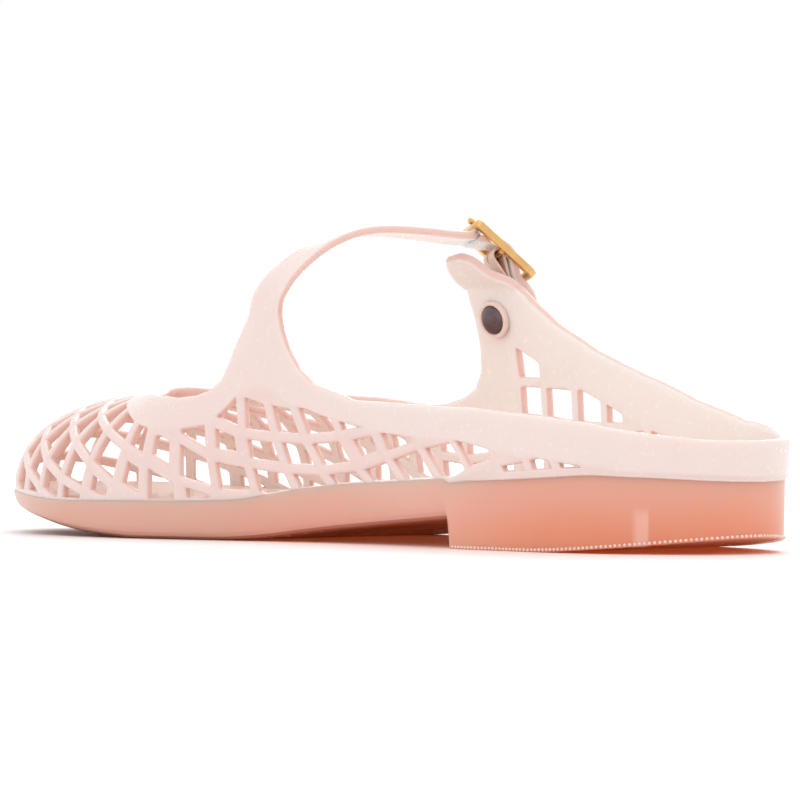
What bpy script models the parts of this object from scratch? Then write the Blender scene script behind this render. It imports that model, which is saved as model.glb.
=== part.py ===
# Moulded jelly sandal for the right foot: a lattice cage with a strap and a buckle, on a low heel.
# Metres, +Y to the toe, +X to the outer side of the foot, +Z up. The shoe stands on z = 0.
import math

import bmesh
import bpy
import numpy as np
from mathutils import Vector

for old in list(bpy.data.objects):
    bpy.data.objects.remove(old, do_unlink=True)

# Driving sizes
shoe_length = 0.250       # back of the heel to the toe tip
ball_width = 0.0815       # across the widest part of the sole
heel_height = 0.0172      # floor to the seam between the heel and the cage, at its highest
instep_height = 0.072     # floor to the top of the strap's arch
wall_reach = 0.058        # up the cage from the sole's edge to the throat, over the toe
rest_share = 0.17         # where the origin lies under the heel, from the back

wall = 0.0022             # the cage's thickness
strand = 0.0026           # width of one strand of the lattice
crest = 0.0005            # how far a strand stands proud where two cross
hem = 0.001               # solid strip along the sole's edge, below the lattice
throat_lift = 0.0032      # how far the throat's front edge flares up from the last
gap = 0.0003              # between pieces that meet
smallest_hole = 0.0026    # a cell whose hole would be narrower than this stays solid

insole_thickness = 0.0018
forefoot_tuck = 0.0034    # how far the forefoot's lower edge lies inside its outline
heel_tuck = 0.0012        # the same for the heel block

strap_width = 0.0096
lobe_width = 0.0150
strap_thickness = 0.0020

buckle_length = 0.0187    # along the strap
buckle_width = 0.0150
frame_bar = 0.0021
frame_depth = 0.0018
axle_radius = 0.0008
prong_radius = 0.0006
tab_width = 0.0082
tab_thickness = 0.0009
tab_seat = 0.0012         # between the tab and the panel at the rivet, where the panel is flat
rivet_shank = 0.0011
rivet_head = 0.0034
rivet_outer_head = 0.0026
rivet_head_height = 0.0010

# Outline of the sole: share of the length from the heel, then the inner and the outer edge as
# shares of the ball's width.
outline_rows = [
    (0.00, 0.000, 0.000), (0.03, -0.190, 0.190), (0.10, -0.319, 0.319), (0.18, -0.356, 0.362),
    (0.30, -0.337, 0.374), (0.42, -0.313, 0.399), (0.52, -0.344, 0.436), (0.62, -0.429, 0.485),
    (0.70, -0.491, 0.503), (0.78, -0.503, 0.472), (0.86, -0.454, 0.399), (0.93, -0.350, 0.270),
    (0.98, -0.209, 0.098), (1.00, -0.061, -0.061)]

# The sole from the side: share of the length, its upper edge and its underside as shares of the
# heel's height. The heel's front face stands at the two rows near 0.29.
sole_rows = [
    (0.000, 0.92, 0.13), (0.020, 0.94, 0.060), (0.050, 0.97, 0.000), (0.110, 1.00, 0.000),
    (0.180, 0.94, 0.000), (0.250, 0.89, 0.000), (0.287, 0.84, 0.000), (0.299, 0.82, 0.385),
    (0.360, 0.77, 0.320), (0.450, 0.70, 0.210), (0.504, 0.62, 0.130), (0.548, 0.52, 0.050),
    (0.600, 0.45, 0.000), (0.700, 0.43, 0.000), (0.740, 0.43, 0.040), (0.790, 0.43, 0.100),
    (0.840, 0.46, 0.190), (0.900, 0.52, 0.290), (0.960, 0.55, 0.360), (1.000, 0.56, 0.390)]

# The top of the last over the middle of the foot: share of the length, share of the instep height.
spine_rows = [
    (0.00, 1.80), (0.16, 1.58), (0.32, 1.35), (0.44, 1.17), (0.54, 1.00), (0.62, 0.79),
    (0.68, 0.63), (0.73, 0.52), (0.765, 0.48), (0.80, 0.46), (1.00, 0.44)]
spine_side = -0.025       # the spine's place across, as a share of the ball's width
spine_back = 0.112        # the spine ends this share of the length from the heel
spine_front = 0.768       # and this share, where the toe's sections all meet
spine_ease = 0.032        # how softly those two ends are reached
crown = 2.35              # roundness of a section: 2 is an ellipse, more is boxier
lift_place = 0.10         # the throat's flare is greatest here, round the foot
lift_spread = 0.34        # and dies out this far to either side

# Round the foot, a place is a number from -1 (the heel, inner side) through 0 (the toe tip) to 1
# (the heel, outer side). Up the cage, a height is a share of wall_reach along the wall.
rim_rows = [
    (-1, 0.145), (-0.91, 0.141), (-0.85, 0.152), (-0.80, 0.172), (-0.718, 0.234),
    (-0.631, 0.293), (-0.54, 0.347), (-0.505, 0.436), (-0.492, 0.509), (-0.481, 0.603),
    (-0.473, 0.690), (-0.468, 0.759), (-0.4405, 0.776), (-0.4385, 0.670), (-0.4370, 0.580),
    (-0.434, 0.510), (-0.427, 0.469), (-0.416, 0.450), (-0.399, 0.447), (-0.371, 0.488),
    (-0.338, 0.586), (-0.30, 0.707), (-0.26, 0.802), (-0.20, 0.897), (-0.15, 0.948),
    (-0.08, 0.991), (0, 1.0), (0.08, 0.991), (0.15, 0.948), (0.20, 0.897), (0.26, 0.802),
    (0.30, 0.707), (0.338, 0.586), (0.371, 0.488), (0.399, 0.440), (0.416, 0.417),
    (0.437, 0.400), (0.453, 0.397), (0.472, 0.410), (0.486, 0.438), (0.4935, 0.500),
    (0.4965, 0.586), (0.498, 0.690), (0.499, 0.828), (0.541, 0.819), (0.552, 0.741),
    (0.57, 0.645), (0.605, 0.524), (0.652, 0.402), (0.702, 0.288), (0.765, 0.193),
    (0.856, 0.148), (1, 0.145)]

# Where the lattice ends below the smooth band.
band_rows = [
    (-1, 0), (-0.82, 0), (-0.802, 0.021), (-0.758, 0.053), (-0.731, 0.083), (-0.709, 0.095),
    (-0.676, 0.128), (-0.638, 0.179), (-0.60, 0.198), (-0.561, 0.231), (-0.523, 0.295),
    (-0.489, 0.383), (-0.468, 0.474), (-0.459, 0.517), (-0.45, 0.457), (-0.438, 0.360),
    (-0.429, 0.338), (-0.407, 0.321), (-0.385, 0.326), (-0.367, 0.357), (-0.338, 0.453),
    (-0.30, 0.569), (-0.26, 0.660), (-0.20, 0.759), (-0.15, 0.810), (-0.08, 0.853), (0, 0.862),
    (0.08, 0.853), (0.15, 0.810), (0.20, 0.759), (0.26, 0.660), (0.30, 0.569), (0.338, 0.453),
    (0.367, 0.357), (0.385, 0.326), (0.407, 0.303), (0.437, 0.276), (0.47, 0.269),
    (0.497, 0.272), (0.523, 0.279), (0.5275, 0.591), (0.547, 0.522), (0.578, 0.417),
    (0.601, 0.353), (0.63, 0.272), (0.647, 0.214), (0.666, 0.174), (0.679, 0.145),
    (0.70, 0.121), (0.73, 0.086), (0.76, 0.052), (0.79, 0), (1, 0)]

# Steep strands: place at the sole, place at the band, and the height at which it gets there.
upright_rows = [
    (-0.96, -0.96, 1), (-0.91, -0.91, 1), (-0.86, -0.86, 1), (-0.82, -0.82, 1),
    (-0.785, -0.78, 0.05), (-0.757, -0.748, 0.07), (-0.727, -0.718, 0.09),
    (-0.697, -0.683, 0.12), (-0.667, -0.638, 0.17), (-0.632, -0.600, 0.20),
    (-0.595, -0.561, 0.22), (-0.563, -0.523, 0.29), (-0.529, -0.489, 0.38),
    (-0.499, -0.468, 0.48), (-0.469, -0.450, 0.46), (-0.442, -0.430, 0.34),
    (-0.413, -0.407, 0.32), (-0.386, -0.384, 0.33), (-0.357, -0.367, 0.36),
    (-0.327, -0.335, 0.45), (-0.298, -0.300, 0.57), (-0.265, -0.262, 0.66),
    (-0.228, -0.222, 0.72), (-0.185, -0.180, 0.78), (-0.135, -0.128, 0.82),
    (-0.075, -0.070, 0.85), (0, 0, 1), (0.075, 0.070, 0.85), (0.135, 0.128, 0.82),
    (0.185, 0.180, 0.78), (0.228, 0.222, 0.72), (0.265, 0.262, 0.66), (0.298, 0.300, 0.57),
    (0.327, 0.335, 0.45), (0.357, 0.367, 0.36), (0.386, 0.384, 0.33), (0.413, 0.407, 0.32),
    (0.442, 0.437, 0.28), (0.470, 0.467, 0.27), (0.500, 0.499, 0.28), (0.5225, 0.5225, 1),
    (0.5275, 0.5275, 1), (0.553, 0.553, 1), (0.583, 0.583, 1), (0.611, 0.611, 1),
    (0.632, 0.632, 1), (0.654, 0.654, 1), (0.678, 0.678, 1), (0.703, 0.703, 1),
    (0.730, 0.730, 1), (0.757, 0.757, 1), (0.79, 0.79, 1), (0.83, 0.83, 1), (0.87, 0.87, 1),
    (0.92, 0.92, 1), (0.96, 0.96, 1)]
upright_bow = 0.75        # below 1 a steep strand turns sooner, near the sole

# Long strands, lowest first: place round the foot and height. The first five run round the toe
# alike on both sides, and are given for one side from the toe tip.
toe_strands = [
    [(0, 0.160), (0.08, 0.138), (0.15, 0.078), (0.20, 0.017), (0.26, -0.08), (1, -0.60)],
    [(0, 0.316), (0.08, 0.293), (0.15, 0.224), (0.20, 0.155), (0.247, 0.078), (0.29, 0.000),
     (0.325, -0.07), (1, -0.55)],
    [(0, 0.474), (0.08, 0.448), (0.15, 0.379), (0.20, 0.302), (0.247, 0.210), (0.281, 0.133),
     (0.319, 0.071), (0.35, 0.017), (0.385, -0.05), (1, -0.50)],
    [(0, 0.638), (0.08, 0.612), (0.15, 0.543), (0.20, 0.474), (0.26, 0.362), (0.294, 0.281),
     (0.324, 0.195), (0.354, 0.100), (0.382, 0.017), (0.42, -0.05), (1, -0.45)],
    [(0, 0.793), (0.08, 0.767), (0.15, 0.707), (0.20, 0.638), (0.26, 0.517), (0.30, 0.422),
     (0.341, 0.309), (0.361, 0.255), (0.388, 0.176), (0.411, 0.102), (0.439, 0.048),
     (0.466, 0.021), (0.50, -0.01), (0.55, -0.05), (1, -0.40)]]
heel_strand = [(-1, 0.155), (-0.76, 0.107), (-0.719, 0.081), (-0.685, 0.064), (-0.654, 0.022),
               (-0.632, 0.0), (-0.60, -0.03), (-0.55, -0.045), (0, -1.0), (0.6, -0.30), (1, -0.30)]
side_strands = [
    [(-1, 0.26), (-0.76, 0.224), (-0.637, 0.179), (-0.599, 0.157), (-0.571, 0.119),
     (-0.551, 0.090), (-0.512, 0.086), (-0.486, 0.117), (-0.456, 0.169), (-0.433, 0.203),
     (-0.417, 0.252), (-0.408, 0.283), (-0.393, 0.317), (-0.37, 0.40), (-0.30, 0.80),
     (0, 1.4), (0.30, 0.80), (0.37, 0.40), (0.393, 0.317), (0.408, 0.276), (0.417, 0.245),
     (0.433, 0.197), (0.456, 0.162), (0.486, 0.143), (0.53, 0.141), (0.57, 0.126),
     (0.61, 0.103), (0.66, 0.086), (0.76, 0.060), (1, 0.060)],
    [(-1, 0.41), (-0.60, 0.276), (-0.558, 0.234), (-0.541, 0.222), (-0.524, 0.209),
     (-0.504, 0.217), (-0.476, 0.253), (-0.45, 0.290), (-0.436, 0.329), (-0.42, 0.40),
     (-0.37, 0.90), (0, 1.7), (0.37, 0.90), (0.42, 0.40), (0.436, 0.310), (0.45, 0.293),
     (0.476, 0.286), (0.527, 0.283), (0.55, 0.266), (0.57, 0.241), (0.60, 0.221),
     (0.63, 0.210), (0.70, 0.207), (1, 0.345)],
    [(-1, 0.59), (-0.52, 0.345), (-0.489, 0.372), (-0.468, 0.414), (-0.45, 0.460),
     (-0.43, 0.600), (-0.37, 1.2), (0, 2.0), (0.37, 1.2), (0.43, 0.60), (0.45, 0.466),
     (0.48, 0.438), (0.527, 0.431), (0.547, 0.421), (0.57, 0.400), (0.60, 0.388),
     (0.70, 0.414), (1, 0.59)]]

# The strap's outer face from the inner side of the cage up to the buckle: its middle as shares of
# ball width, length and instep height, then its width as a share of strap_width.
strap_rows = [
    (-0.362, 0.5440, 0.755, 1.14), (-0.331, 0.5408, 0.831, 1.03), (-0.270, 0.5340, 0.906, 1.0),
    (-0.190, 0.5256, 0.969, 1.0), (-0.098, 0.5156, 1.007, 1.0), (0.000, 0.5048, 1.014, 1.0),
    (0.098, 0.4952, 1.006, 1.0), (0.184, 0.4892, 0.996, 1.0), (0.262, 0.4872, 0.990, 1.0)]
# Its end, through the buckle and past it: down along the buckle, across it and out from it as
# shares of buckle_length, then the width again.
strap_end_rows = [
    (-0.374, 0.000, -0.072, 1.0), (-0.257, 0.000, 0.102, 1.0), (-0.123, 0.000, 0.246, 1.0),
    (0.091, 0.000, 0.267, 1.0), (0.257, 0.005, 0.102, 1.0), (0.374, 0.016, -0.070, 1.0),
    (0.503, 0.037, -0.078, 1.0), (0.674, 0.112, -0.112, 1.0), (0.856, 0.246, -0.241, 0.96),
    (0.995, 0.364, -0.337, 0.55)]
# The lobe on the outer side that carries the rivet, as shares in the same way, its width of
# lobe_width.
lobe_rows = [
    (0.292, 0.4840, 0.860, 1.0), (0.252, 0.4890, 0.908, 0.77), (0.226, 0.4920, 0.928, 0.40)]

# The buckle: its middle in the same shares, and the directions along and across it.
buckle_middle = (0.337, 0.4724, 0.931)
buckle_along = (0.600, -0.427, -0.678)
buckle_across = (0.446, 0.880, -0.157)
# The rivet: its place round the foot, and its share of the way up the smooth panel there.
rivet_place = 0.513
rivet_rise = 0.78


def material(name, colour, roughness, metallic=0.0, transmission=0.0):
    made = bpy.data.materials.new(name)
    made.use_nodes = True
    shader = made.node_tree.nodes["Principled BSDF"]
    shader.inputs["Base Color"].default_value = (*colour, 1.0)
    shader.inputs["Roughness"].default_value = roughness
    shader.inputs["Metallic"].default_value = metallic
    shader.inputs["Transmission Weight"].default_value = transmission
    return made


def add_object(name, bm, finish):
    bmesh.ops.recalc_face_normals(bm, faces=bm.faces)
    bmesh.ops.triangulate(bm, faces=bm.faces)
    for vert in bm.verts:
        vert.co.y -= rest_share * shoe_length
    mesh = bpy.data.meshes.new(name)
    bm.to_mesh(mesh)
    bm.free()
    obj = bpy.data.objects.new(name, mesh)
    bpy.context.scene.collection.objects.link(obj)
    if finish:
        mesh.materials.append(finish)
    return obj


def from_lists(verts, faces):
    bm = bmesh.new()
    made = [bm.verts.new(tuple(v)) for v in verts]
    for face in faces:
        bm.faces.new([made[i] for i in face])
    return bm


def table(rows, column, x):
    return float(np.interp(x, [row[0] for row in rows], [row[column] for row in rows]))


def turn_of(share):
    """Rounds off both ends of the outline: a share of the length as a share of half a turn."""
    return math.acos(1 - 2 * share) / math.pi


def natural_spline(xs, ys):
    count = len(xs)
    step = np.diff(xs)
    lhs = np.zeros((count, count))
    rhs = np.zeros(count)
    lhs[0, 0] = lhs[-1, -1] = 1
    for i in range(1, count - 1):
        lhs[i, i - 1], lhs[i, i], lhs[i, i + 1] = step[i - 1], 2 * (step[i - 1] + step[i]), step[i]
        rhs[i] = 6 * ((ys[i + 1] - ys[i]) / step[i] - (ys[i] - ys[i - 1]) / step[i - 1])
    bend = np.linalg.solve(lhs, rhs)

    def value(x):
        i = min(max(int(np.searchsorted(xs, x)) - 1, 0), count - 2)
        after, before, width = x - xs[i], xs[i + 1] - x, step[i]
        return ((bend[i] * before ** 3 + bend[i + 1] * after ** 3) / (6 * width)
                + (ys[i] / width - bend[i] * width / 6) * before
                + (ys[i + 1] / width - bend[i + 1] * width / 6) * after)
    return value


turns = np.array([turn_of(row[0]) for row in outline_rows])
inner_edge = natural_spline(turns, np.array([row[1] for row in outline_rows]))
outer_edge = natural_spline(turns, np.array([row[2] for row in outline_rows]))


def outline(place):
    """A point of the sole's outline, seen from above."""
    turn = 1 - abs(place)
    y = shoe_length * (1 - math.cos(math.pi * turn)) / 2
    edge = inner_edge if place < 0 else outer_edge
    return Vector((ball_width * edge(turn), y, 0))


def inset_outline(place, inset):
    step = 0.004
    here = outline(place)
    ahead = outline(place + step if place + step <= 1 else place + step - 2)
    behind = outline(place - step if place - step >= -1 else place - step + 2)
    along = (ahead - behind).normalized()
    return here + Vector((-along.y, along.x, 0)) * -inset


def sole_top(y):
    return heel_height * table(sole_rows, 1, y / shoe_length)


def soft_least(a, b, ease):
    return -ease * math.log(math.exp(-a / ease) + math.exp(-b / ease))


def spine(y):
    share = soft_least(y / shoe_length, spine_front, spine_ease)
    share = -soft_least(-share, -spine_back, spine_ease)
    height = instep_height * table(spine_rows, 1, share)
    return Vector((ball_width * spine_side, share * shoe_length, height))


meridian_steps = 40
meridian_cache = {}


def meridian(place):
    """The cage's outer face from the sole's edge up to the spine, with its running length."""
    key = round(place, 5)
    if key not in meridian_cache:
        low = outline(place)
        low.z = sole_top(low.y) + gap
        high = spine(low.y)
        points = []
        for i in range(meridian_steps + 1):
            angle = math.pi / 2 * i / meridian_steps
            inward = 1 - max(math.cos(angle), 0) ** (2 / crown)
            upward = math.sin(angle) ** (2 / crown)
            points.append((low.x + (high.x - low.x) * inward, low.y + (high.y - low.y) * inward,
                           low.z + (high.z - low.z) * upward))
        points = np.array(points)
        steps = np.linalg.norm(np.diff(points, axis=0), axis=1)
        meridian_cache[key] = (points, np.concatenate([[0], np.cumsum(steps)]))
    return meridian_cache[key]


def on_last(place, reach):
    points, length = meridian(place)
    point = Vector([float(np.interp(reach * wall_reach, length, points[:, i])) for i in range(3)])
    round_throat = max(0.0, 1 - ((place - lift_place) / lift_spread) ** 2)
    near_rim = min(max((reach - 0.5) / 0.5, 0.0), 1.0)
    point.z += throat_lift * round_throat * near_rim ** 1.5
    return point


def last_normal(place, reach):
    step = 0.006
    across = on_last(min(place + step, 1), reach) - on_last(max(place - step, -1), reach)
    reach = max(reach, step)
    upward = on_last(place, reach + step) - on_last(place, reach - step)
    return upward.cross(across).normalized()


def upright(row, reach):
    foot, top, top_reach = row
    return foot + (top - foot) * min(max(reach, 0) / top_reach, 1) ** upright_bow


def clip(polygon, value, label):
    """Keeps the part of a labelled polygon where value(place, reach) is positive."""
    kept = []
    for i, (point, edge) in enumerate(polygon):
        after = polygon[(i + 1) % len(polygon)][0]
        here, there = value(*point), value(*after)
        if here >= 0:
            kept.append((point, edge))
        if (here >= 0) != (there >= 0):
            k = here / (here - there)
            cut = tuple(p + (q - p) * k for p, q in zip(point, after))
            kept.append((cut, label if here >= 0 else edge))
    return kept


def corners_only(polygon):
    """Drops the points inside one side, so that each side of a cell is one edge."""
    return [item for i, item in enumerate(polygon) if polygon[i - 1][1] != item[1]]


def two_sided(rows):
    return [(-place, reach) for place, reach in reversed(rows[1:])] + rows


long_strands = [two_sided(rows) for rows in toe_strands] + side_strands
upright_samples = [0.0, 0.008, 0.03, 0.07, 0.12, 0.18, 0.25, 0.33, 0.42, 0.52, 0.64, 0.78, 0.95, 1.1]


def cell_polygons():
    """Every cell of the cage as (place, reach) corners, and whether it may be open."""
    hem_reach = hem / wall_reach
    band = lambda place: max(table(band_rows, 1, place), hem_reach)
    rows = upright_rows + [(1, 1, 1)]
    cells = []
    left = (-1, -1, 1)
    for right in rows:
        column = [((upright(left, r), r), "left") for r in reversed(upright_samples)]
        column += [((upright(right, r), r), "right") for r in upright_samples]
        column[len(upright_samples) - 1] = (column[len(upright_samples) - 1][0], "foot")
        column[-1] = (column[-1][0], "top")
        chord_left = chord_point(left, band)
        chord_right = chord_point(right, band)

        def under_band(place, reach):
            return line_height(chord_left, chord_right, place) - reach

        lattice = clip(column, lambda place, reach: reach - hem_reach, "hem")
        lattice = clip(lattice, under_band, "band")
        cuts = sorted_cuts(left, right)
        open_cells = []
        for i in range(len(cuts) + 1):
            cell = lattice
            if i > 0:
                cell = clip(cell, above(cuts[i - 1]), "long below")
            if i < len(cuts) and cell:
                cell = clip(cell, below(cuts[i]), "long above")
            cell = corners_only(cell)
            if len(cell) >= 3:
                open_cells.append(cell)
        corners = [point for cell in open_cells for point, _ in cell]
        on_hem = ends_between(corners, lambda point: point[1] - hem_reach)
        on_band = ends_between(corners, lambda point: under_band(*point))
        cells += [(cell, True) for cell in open_cells]
        cells.append((hem_strip(left, right, hem_reach, on_hem), False))
        cells.append((band_strip(chord_left, chord_right, left, right, on_band), False))
        left = right
    return cells


def crossing(row, height_at):
    """The reach at which a steep strand meets a long line."""
    low, high = -1.0, 1.6
    for _ in range(40):
        middle = (low + high) / 2
        if height_at(upright(row, middle)) > middle:
            low = middle
        else:
            high = middle
    return (low + high) / 2


def chord_point(row, height_at):
    reach = crossing(row, height_at)
    return (upright(row, reach), reach)


def line_height(a, b, place):
    if abs(b[0] - a[0]) < 1e-9:
        return a[1]
    return a[1] + (b[1] - a[1]) * (place - a[0]) / (b[0] - a[0])


def sorted_cuts(left, right):
    """The long strands that cross this column, as straight chords, lowest first."""
    rows = [heel_strand] + long_strands
    cuts = []
    for strand_rows in rows:
        height_at = lambda place: table(strand_rows, 1, place)
        cuts.append((chord_point(left, height_at), chord_point(right, height_at)))
    return sorted(cuts, key=lambda cut: cut[0][1] + cut[1][1])


def above(cut):
    return lambda place, reach: reach - line_height(cut[0], cut[1], place)


def below(cut):
    return lambda place, reach: line_height(cut[0], cut[1], place) - reach


def ends_between(corners, distance):
    """The corners that lie on a line, from the toe's left to its right, each once."""
    found = []
    for point in sorted(corners):
        if abs(distance(point)) < 1e-7 and not (found and point[0] - found[-1][0] < 1e-6):
            found.append(point)
    return found


def hem_strip(left, right, hem_reach, on_hem):
    """The solid strip of one column along the sole's edge."""
    corners = [(upright(left, hem_reach), hem_reach), (upright(left, 0), 0),
               (upright(right, 0), 0), (upright(right, hem_reach), hem_reach)]
    return [(point, "hem") for point in corners + list(reversed(on_hem))]


def rim_point(row):
    return chord_point(row, lambda place: table(rim_rows, 1, place))


def band_strip(chord_left, chord_right, left, right, on_band):
    """The smooth band of one column, with the rim's own corners along its top."""
    top_left, top_right = rim_point(left), rim_point(right)
    between = [row for row in rim_rows if top_left[0] + 0.0009 < row[0] < top_right[0] - 0.0009]
    corners = [top_left, chord_left] + on_band + [chord_right, top_right] + list(reversed(between))
    return [(point, "band") for point in corners]


class Shell:
    """Outer faces of a sheet with its own thickness, closed all round at the end."""

    def __init__(self):
        self.points, self.normals, self.depths, self.rises = [], [], [], []
        self.faces = []

    def vertex(self, point, normal, depth=wall, rise=0.0, merge=0.0007):
        for i, other in enumerate(self.points):
            if (other - point).length < merge:
                return i
        self.points.append(point)
        self.normals.append(normal)
        self.depths.append(depth)
        self.rises.append(rise)
        return len(self.points) - 1

    def face(self, corners):
        loop = [c for i, c in enumerate(corners) if c != corners[i - 1]]
        if len(loop) >= 3 and len(set(loop)) == len(loop):
            self.faces.append(loop)

    def solid(self):
        count = len(self.points)
        outer = [p + n * r for p, n, r in zip(self.points, self.normals, self.rises)]
        inner = [p - n * d for p, n, d in zip(self.points, self.normals, self.depths)]
        faces = [list(face) for face in self.faces]
        faces += [[i + count for i in reversed(face)] for face in self.faces]
        used = {}
        for face in self.faces:
            for i, start in enumerate(face):
                used[(start, face[(i + 1) % len(face)])] = True
        for start, end in used:
            if (end, start) not in used:
                faces.append([end, start, start + count, end + count])
        return from_lists(outer + inner, faces)


def inset_corner(before, here, after, inset_before, inset_after):
    back, onward = (before - here).normalized(), (after - here).normalized()
    sine = max(back.cross(onward).length, 0.35)
    return here + (back * inset_after + onward * inset_before) / sine


def add_cell(shell, cell, may_open):
    marks = []
    for i, ((place, reach), label) in enumerate(cell):
        kinds = {label, cell[i - 1][1]}
        crossing_here = may_open and not kinds & {"hem", "band", "foot", "top"}
        marks.append(shell.vertex(on_last(place, reach), last_normal(place, reach),
                                  rise=crest if crossing_here else 0.0))
    loop = [(m, cell[i][1]) for i, m in enumerate(marks) if m != marks[i - 1]]
    if len(loop) < 3 or len({m for m, _ in loop}) < len(loop):
        shell.face([m for m, _ in loop])
        return
    hole = open_corners(shell, loop) if may_open else None
    if not hole:
        shell.face([m for m, _ in loop])
        return
    normal = sum((shell.normals[m] for m, _ in loop), Vector()).normalized()
    inner = []
    for point in hole:
        shell.points.append(point)
        shell.normals.append(normal)
        shell.depths.append(wall)
        shell.rises.append(0.0)
        inner.append(len(shell.points) - 1)
    for i, (mark, _) in enumerate(loop):
        after = (i + 1) % len(loop)
        shell.face([mark, loop[after][0], inner[after], inner[i]])


def open_corners(shell, loop):
    """The corners of a cell's hole, or nothing where it would be too narrow."""
    points = [shell.points[m] for m, _ in loop]
    count = len(points)
    middle = sum(points, Vector()) / count
    insets = [strand / 2 if label in ("left", "right", "long above", "long below") else gap
              for _, label in loop]
    hole = [inset_corner(points[i - 1], points[i], points[(i + 1) % count], insets[i - 1], insets[i])
            for i in range(count)]
    sides = [(hole[(i + 1) % count] - hole[i]).dot((points[(i + 1) % count] - points[i]).normalized())
             for i in range(count)]
    if min(sides) < smallest_hole / 4:
        hole = [middle + (p - middle) * 0.5 for p in points]
    narrow = min((hole[i] - middle).length for i in range(count))
    area = sum(((hole[i] - middle).cross(hole[(i + 1) % count] - middle)).length / 2
               for i in range(count))
    if narrow < smallest_hole / 3 or area < smallest_hole ** 2 * 1.2:
        return None
    return hole


def scaled(row):
    return Vector((row[0] * ball_width, row[1] * shoe_length, row[2] * instep_height))


def add_ribbon(shell, root, stations, across_at, depth, outward_sign):
    """Continues the sheet from its root corners through stations of (middle, width)."""
    columns = len(root)
    middles = [sum((shell.points[m] for m in root), Vector()) / columns]
    middles += [middle for middle, _ in stations]
    before = list(root)
    for k, (_, width) in enumerate(stations, start=1):
        onward = middles[min(k + 1, len(stations))] - middles[k - 1]
        across = across_at(k)
        across = (across - onward * across.dot(onward) / onward.length_squared).normalized()
        normal = onward.cross(across).normalized() * outward_sign
        marks = []
        for j in range(columns):
            side = 0.5 - j / (columns - 1)
            point = middles[k] + across * side * width
            marks.append(shell.vertex(point, normal, depth, merge=0.0))
        for j in range(columns - 1):
            strip = [before[j + 1], before[j], marks[j], marks[j + 1]]
            shell.face(strip if outward_sign > 0 else strip[::-1])
        before = marks


def rim_marks(shell, left, right):
    """The rim's corners between two places, from the toe side to the heel side."""
    found = []
    for place, reach in rim_rows:
        if left <= place <= right:
            found.append((abs(place), shell.vertex(on_last(place, reach), Vector((0, 0, 1)))))
    for row in upright_rows:
        place, reach = rim_point(row)
        if left < place < right:
            found.append((abs(place), shell.vertex(on_last(place, reach), Vector((0, 0, 1)))))
    ordered = []
    for _, mark in sorted(found):
        if mark not in ordered:
            ordered.append(mark)
    return ordered


def strap_across(k):
    share = min(k / len(strap_rows), 1.0)
    return Vector((0.05, 1, 0)).lerp(Vector(buckle_across), share ** 1.5)


def make_upper(finish):
    shell = Shell()
    for cell, may_open in cell_polygons():
        if len(cell) >= 3:
            add_cell(shell, cell, may_open)
    stations = [(scaled(row), row[3] * strap_width) for row in strap_rows]
    stations += [(from_buckle(*(share * buckle_length for share in row[:3])), row[3] * strap_width)
                 for row in strap_end_rows]
    add_ribbon(shell, rim_marks(shell, -0.468, -0.4405), stations, strap_across,
               strap_thickness, 1)
    stations = [(scaled(row), row[3] * lobe_width) for row in lobe_rows]
    add_ribbon(shell, rim_marks(shell, 0.499, 0.541), stations,
               lambda k: Vector((0.18, 1, -0.08)), wall, -1)
    return add_object("upper", shell.solid(), finish)


sole_places = 24          # steps down each side of the sole, between its two ends


def sole_stations():
    """Places round the foot, closer where the heel's front face needs its two rows."""
    shares = [row[0] for row in sole_rows[1:-1]]
    turns_used = sorted({round(turn_of(s), 4) for s in shares}
                        | {round(i / sole_places, 4) for i in range(1, sole_places)})
    kept = [turns_used[0]]
    exact = {round(turn_of(s), 4) for s in shares}
    for turn in turns_used[1:]:
        if turn - kept[-1] < 0.011 and turn not in exact:
            continue
        if turn - kept[-1] < 0.011 and kept[-1] not in exact:
            kept.pop()
        kept.append(turn)
    return kept


def loop_points(inset_at, height_at):
    """A closed loop: heel back, inner side forward, toe tip, outer side back."""
    stations = sole_stations()
    places = [-1] + [turn - 1 for turn in stations] + [0] + [1 - turn for turn in reversed(stations)]
    points = []
    for place in places:
        edge = outline(place)
        point = inset_outline(place, inset_at(edge.y))
        points.append(Vector((point.x, point.y, height_at(edge.y))))
    return points


def ladder(start, count, flip):
    """Covers a loop with strips from one side straight across to the other."""
    faces = [[start, start + 1, start + count - 1]]
    for i in range(1, count // 2 - 1):
        faces.append([start + i, start + i + 1, start + count - i - 1, start + count - i])
    middle = count // 2
    faces.append([start + middle - 1, start + middle, start + middle + 1])
    return [list(reversed(f)) for f in faces] if flip else faces


def stacked(loops):
    count = len(loops[0])
    verts = [point for loop in loops for point in loop]
    faces = ladder(0, count, True) + ladder((len(loops) - 1) * count, count, False)
    for k in range(len(loops) - 1):
        for i in range(count):
            j = (i + 1) % count
            faces.append([k * count + i, k * count + j, (k + 1) * count + j, (k + 1) * count + i])
    return from_lists(verts, faces)


def tuck(y):
    share = y / shoe_length
    breast = sole_rows[6][0]
    return heel_tuck if share <= breast + 0.001 else forefoot_tuck


def make_outsole(finish):
    low = lambda y: heel_height * table(sole_rows, 2, y / shoe_length)
    levels = [(1.0, 0.0), (0.42, 0.16), (0.10, 0.5), (0.0, 1.0)]
    loops = []
    for inset_share, rise in levels:
        height = lambda y, rise=rise: low(y) + (sole_top(y) - low(y)) * rise
        inset = lambda y, inset_share=inset_share: tuck(y) * inset_share
        loops.append(loop_points(inset, height))
    return add_object("outsole", stacked(loops), finish)


def make_insole(finish):
    inset = wall + 3 * gap
    lower = loop_points(lambda y: inset, lambda y: sole_top(y) + gap)
    upper = loop_points(lambda y: inset + gap, lambda y: sole_top(y) + gap + insole_thickness)
    return add_object("insole", stacked([lower, upper]), finish)


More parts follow.
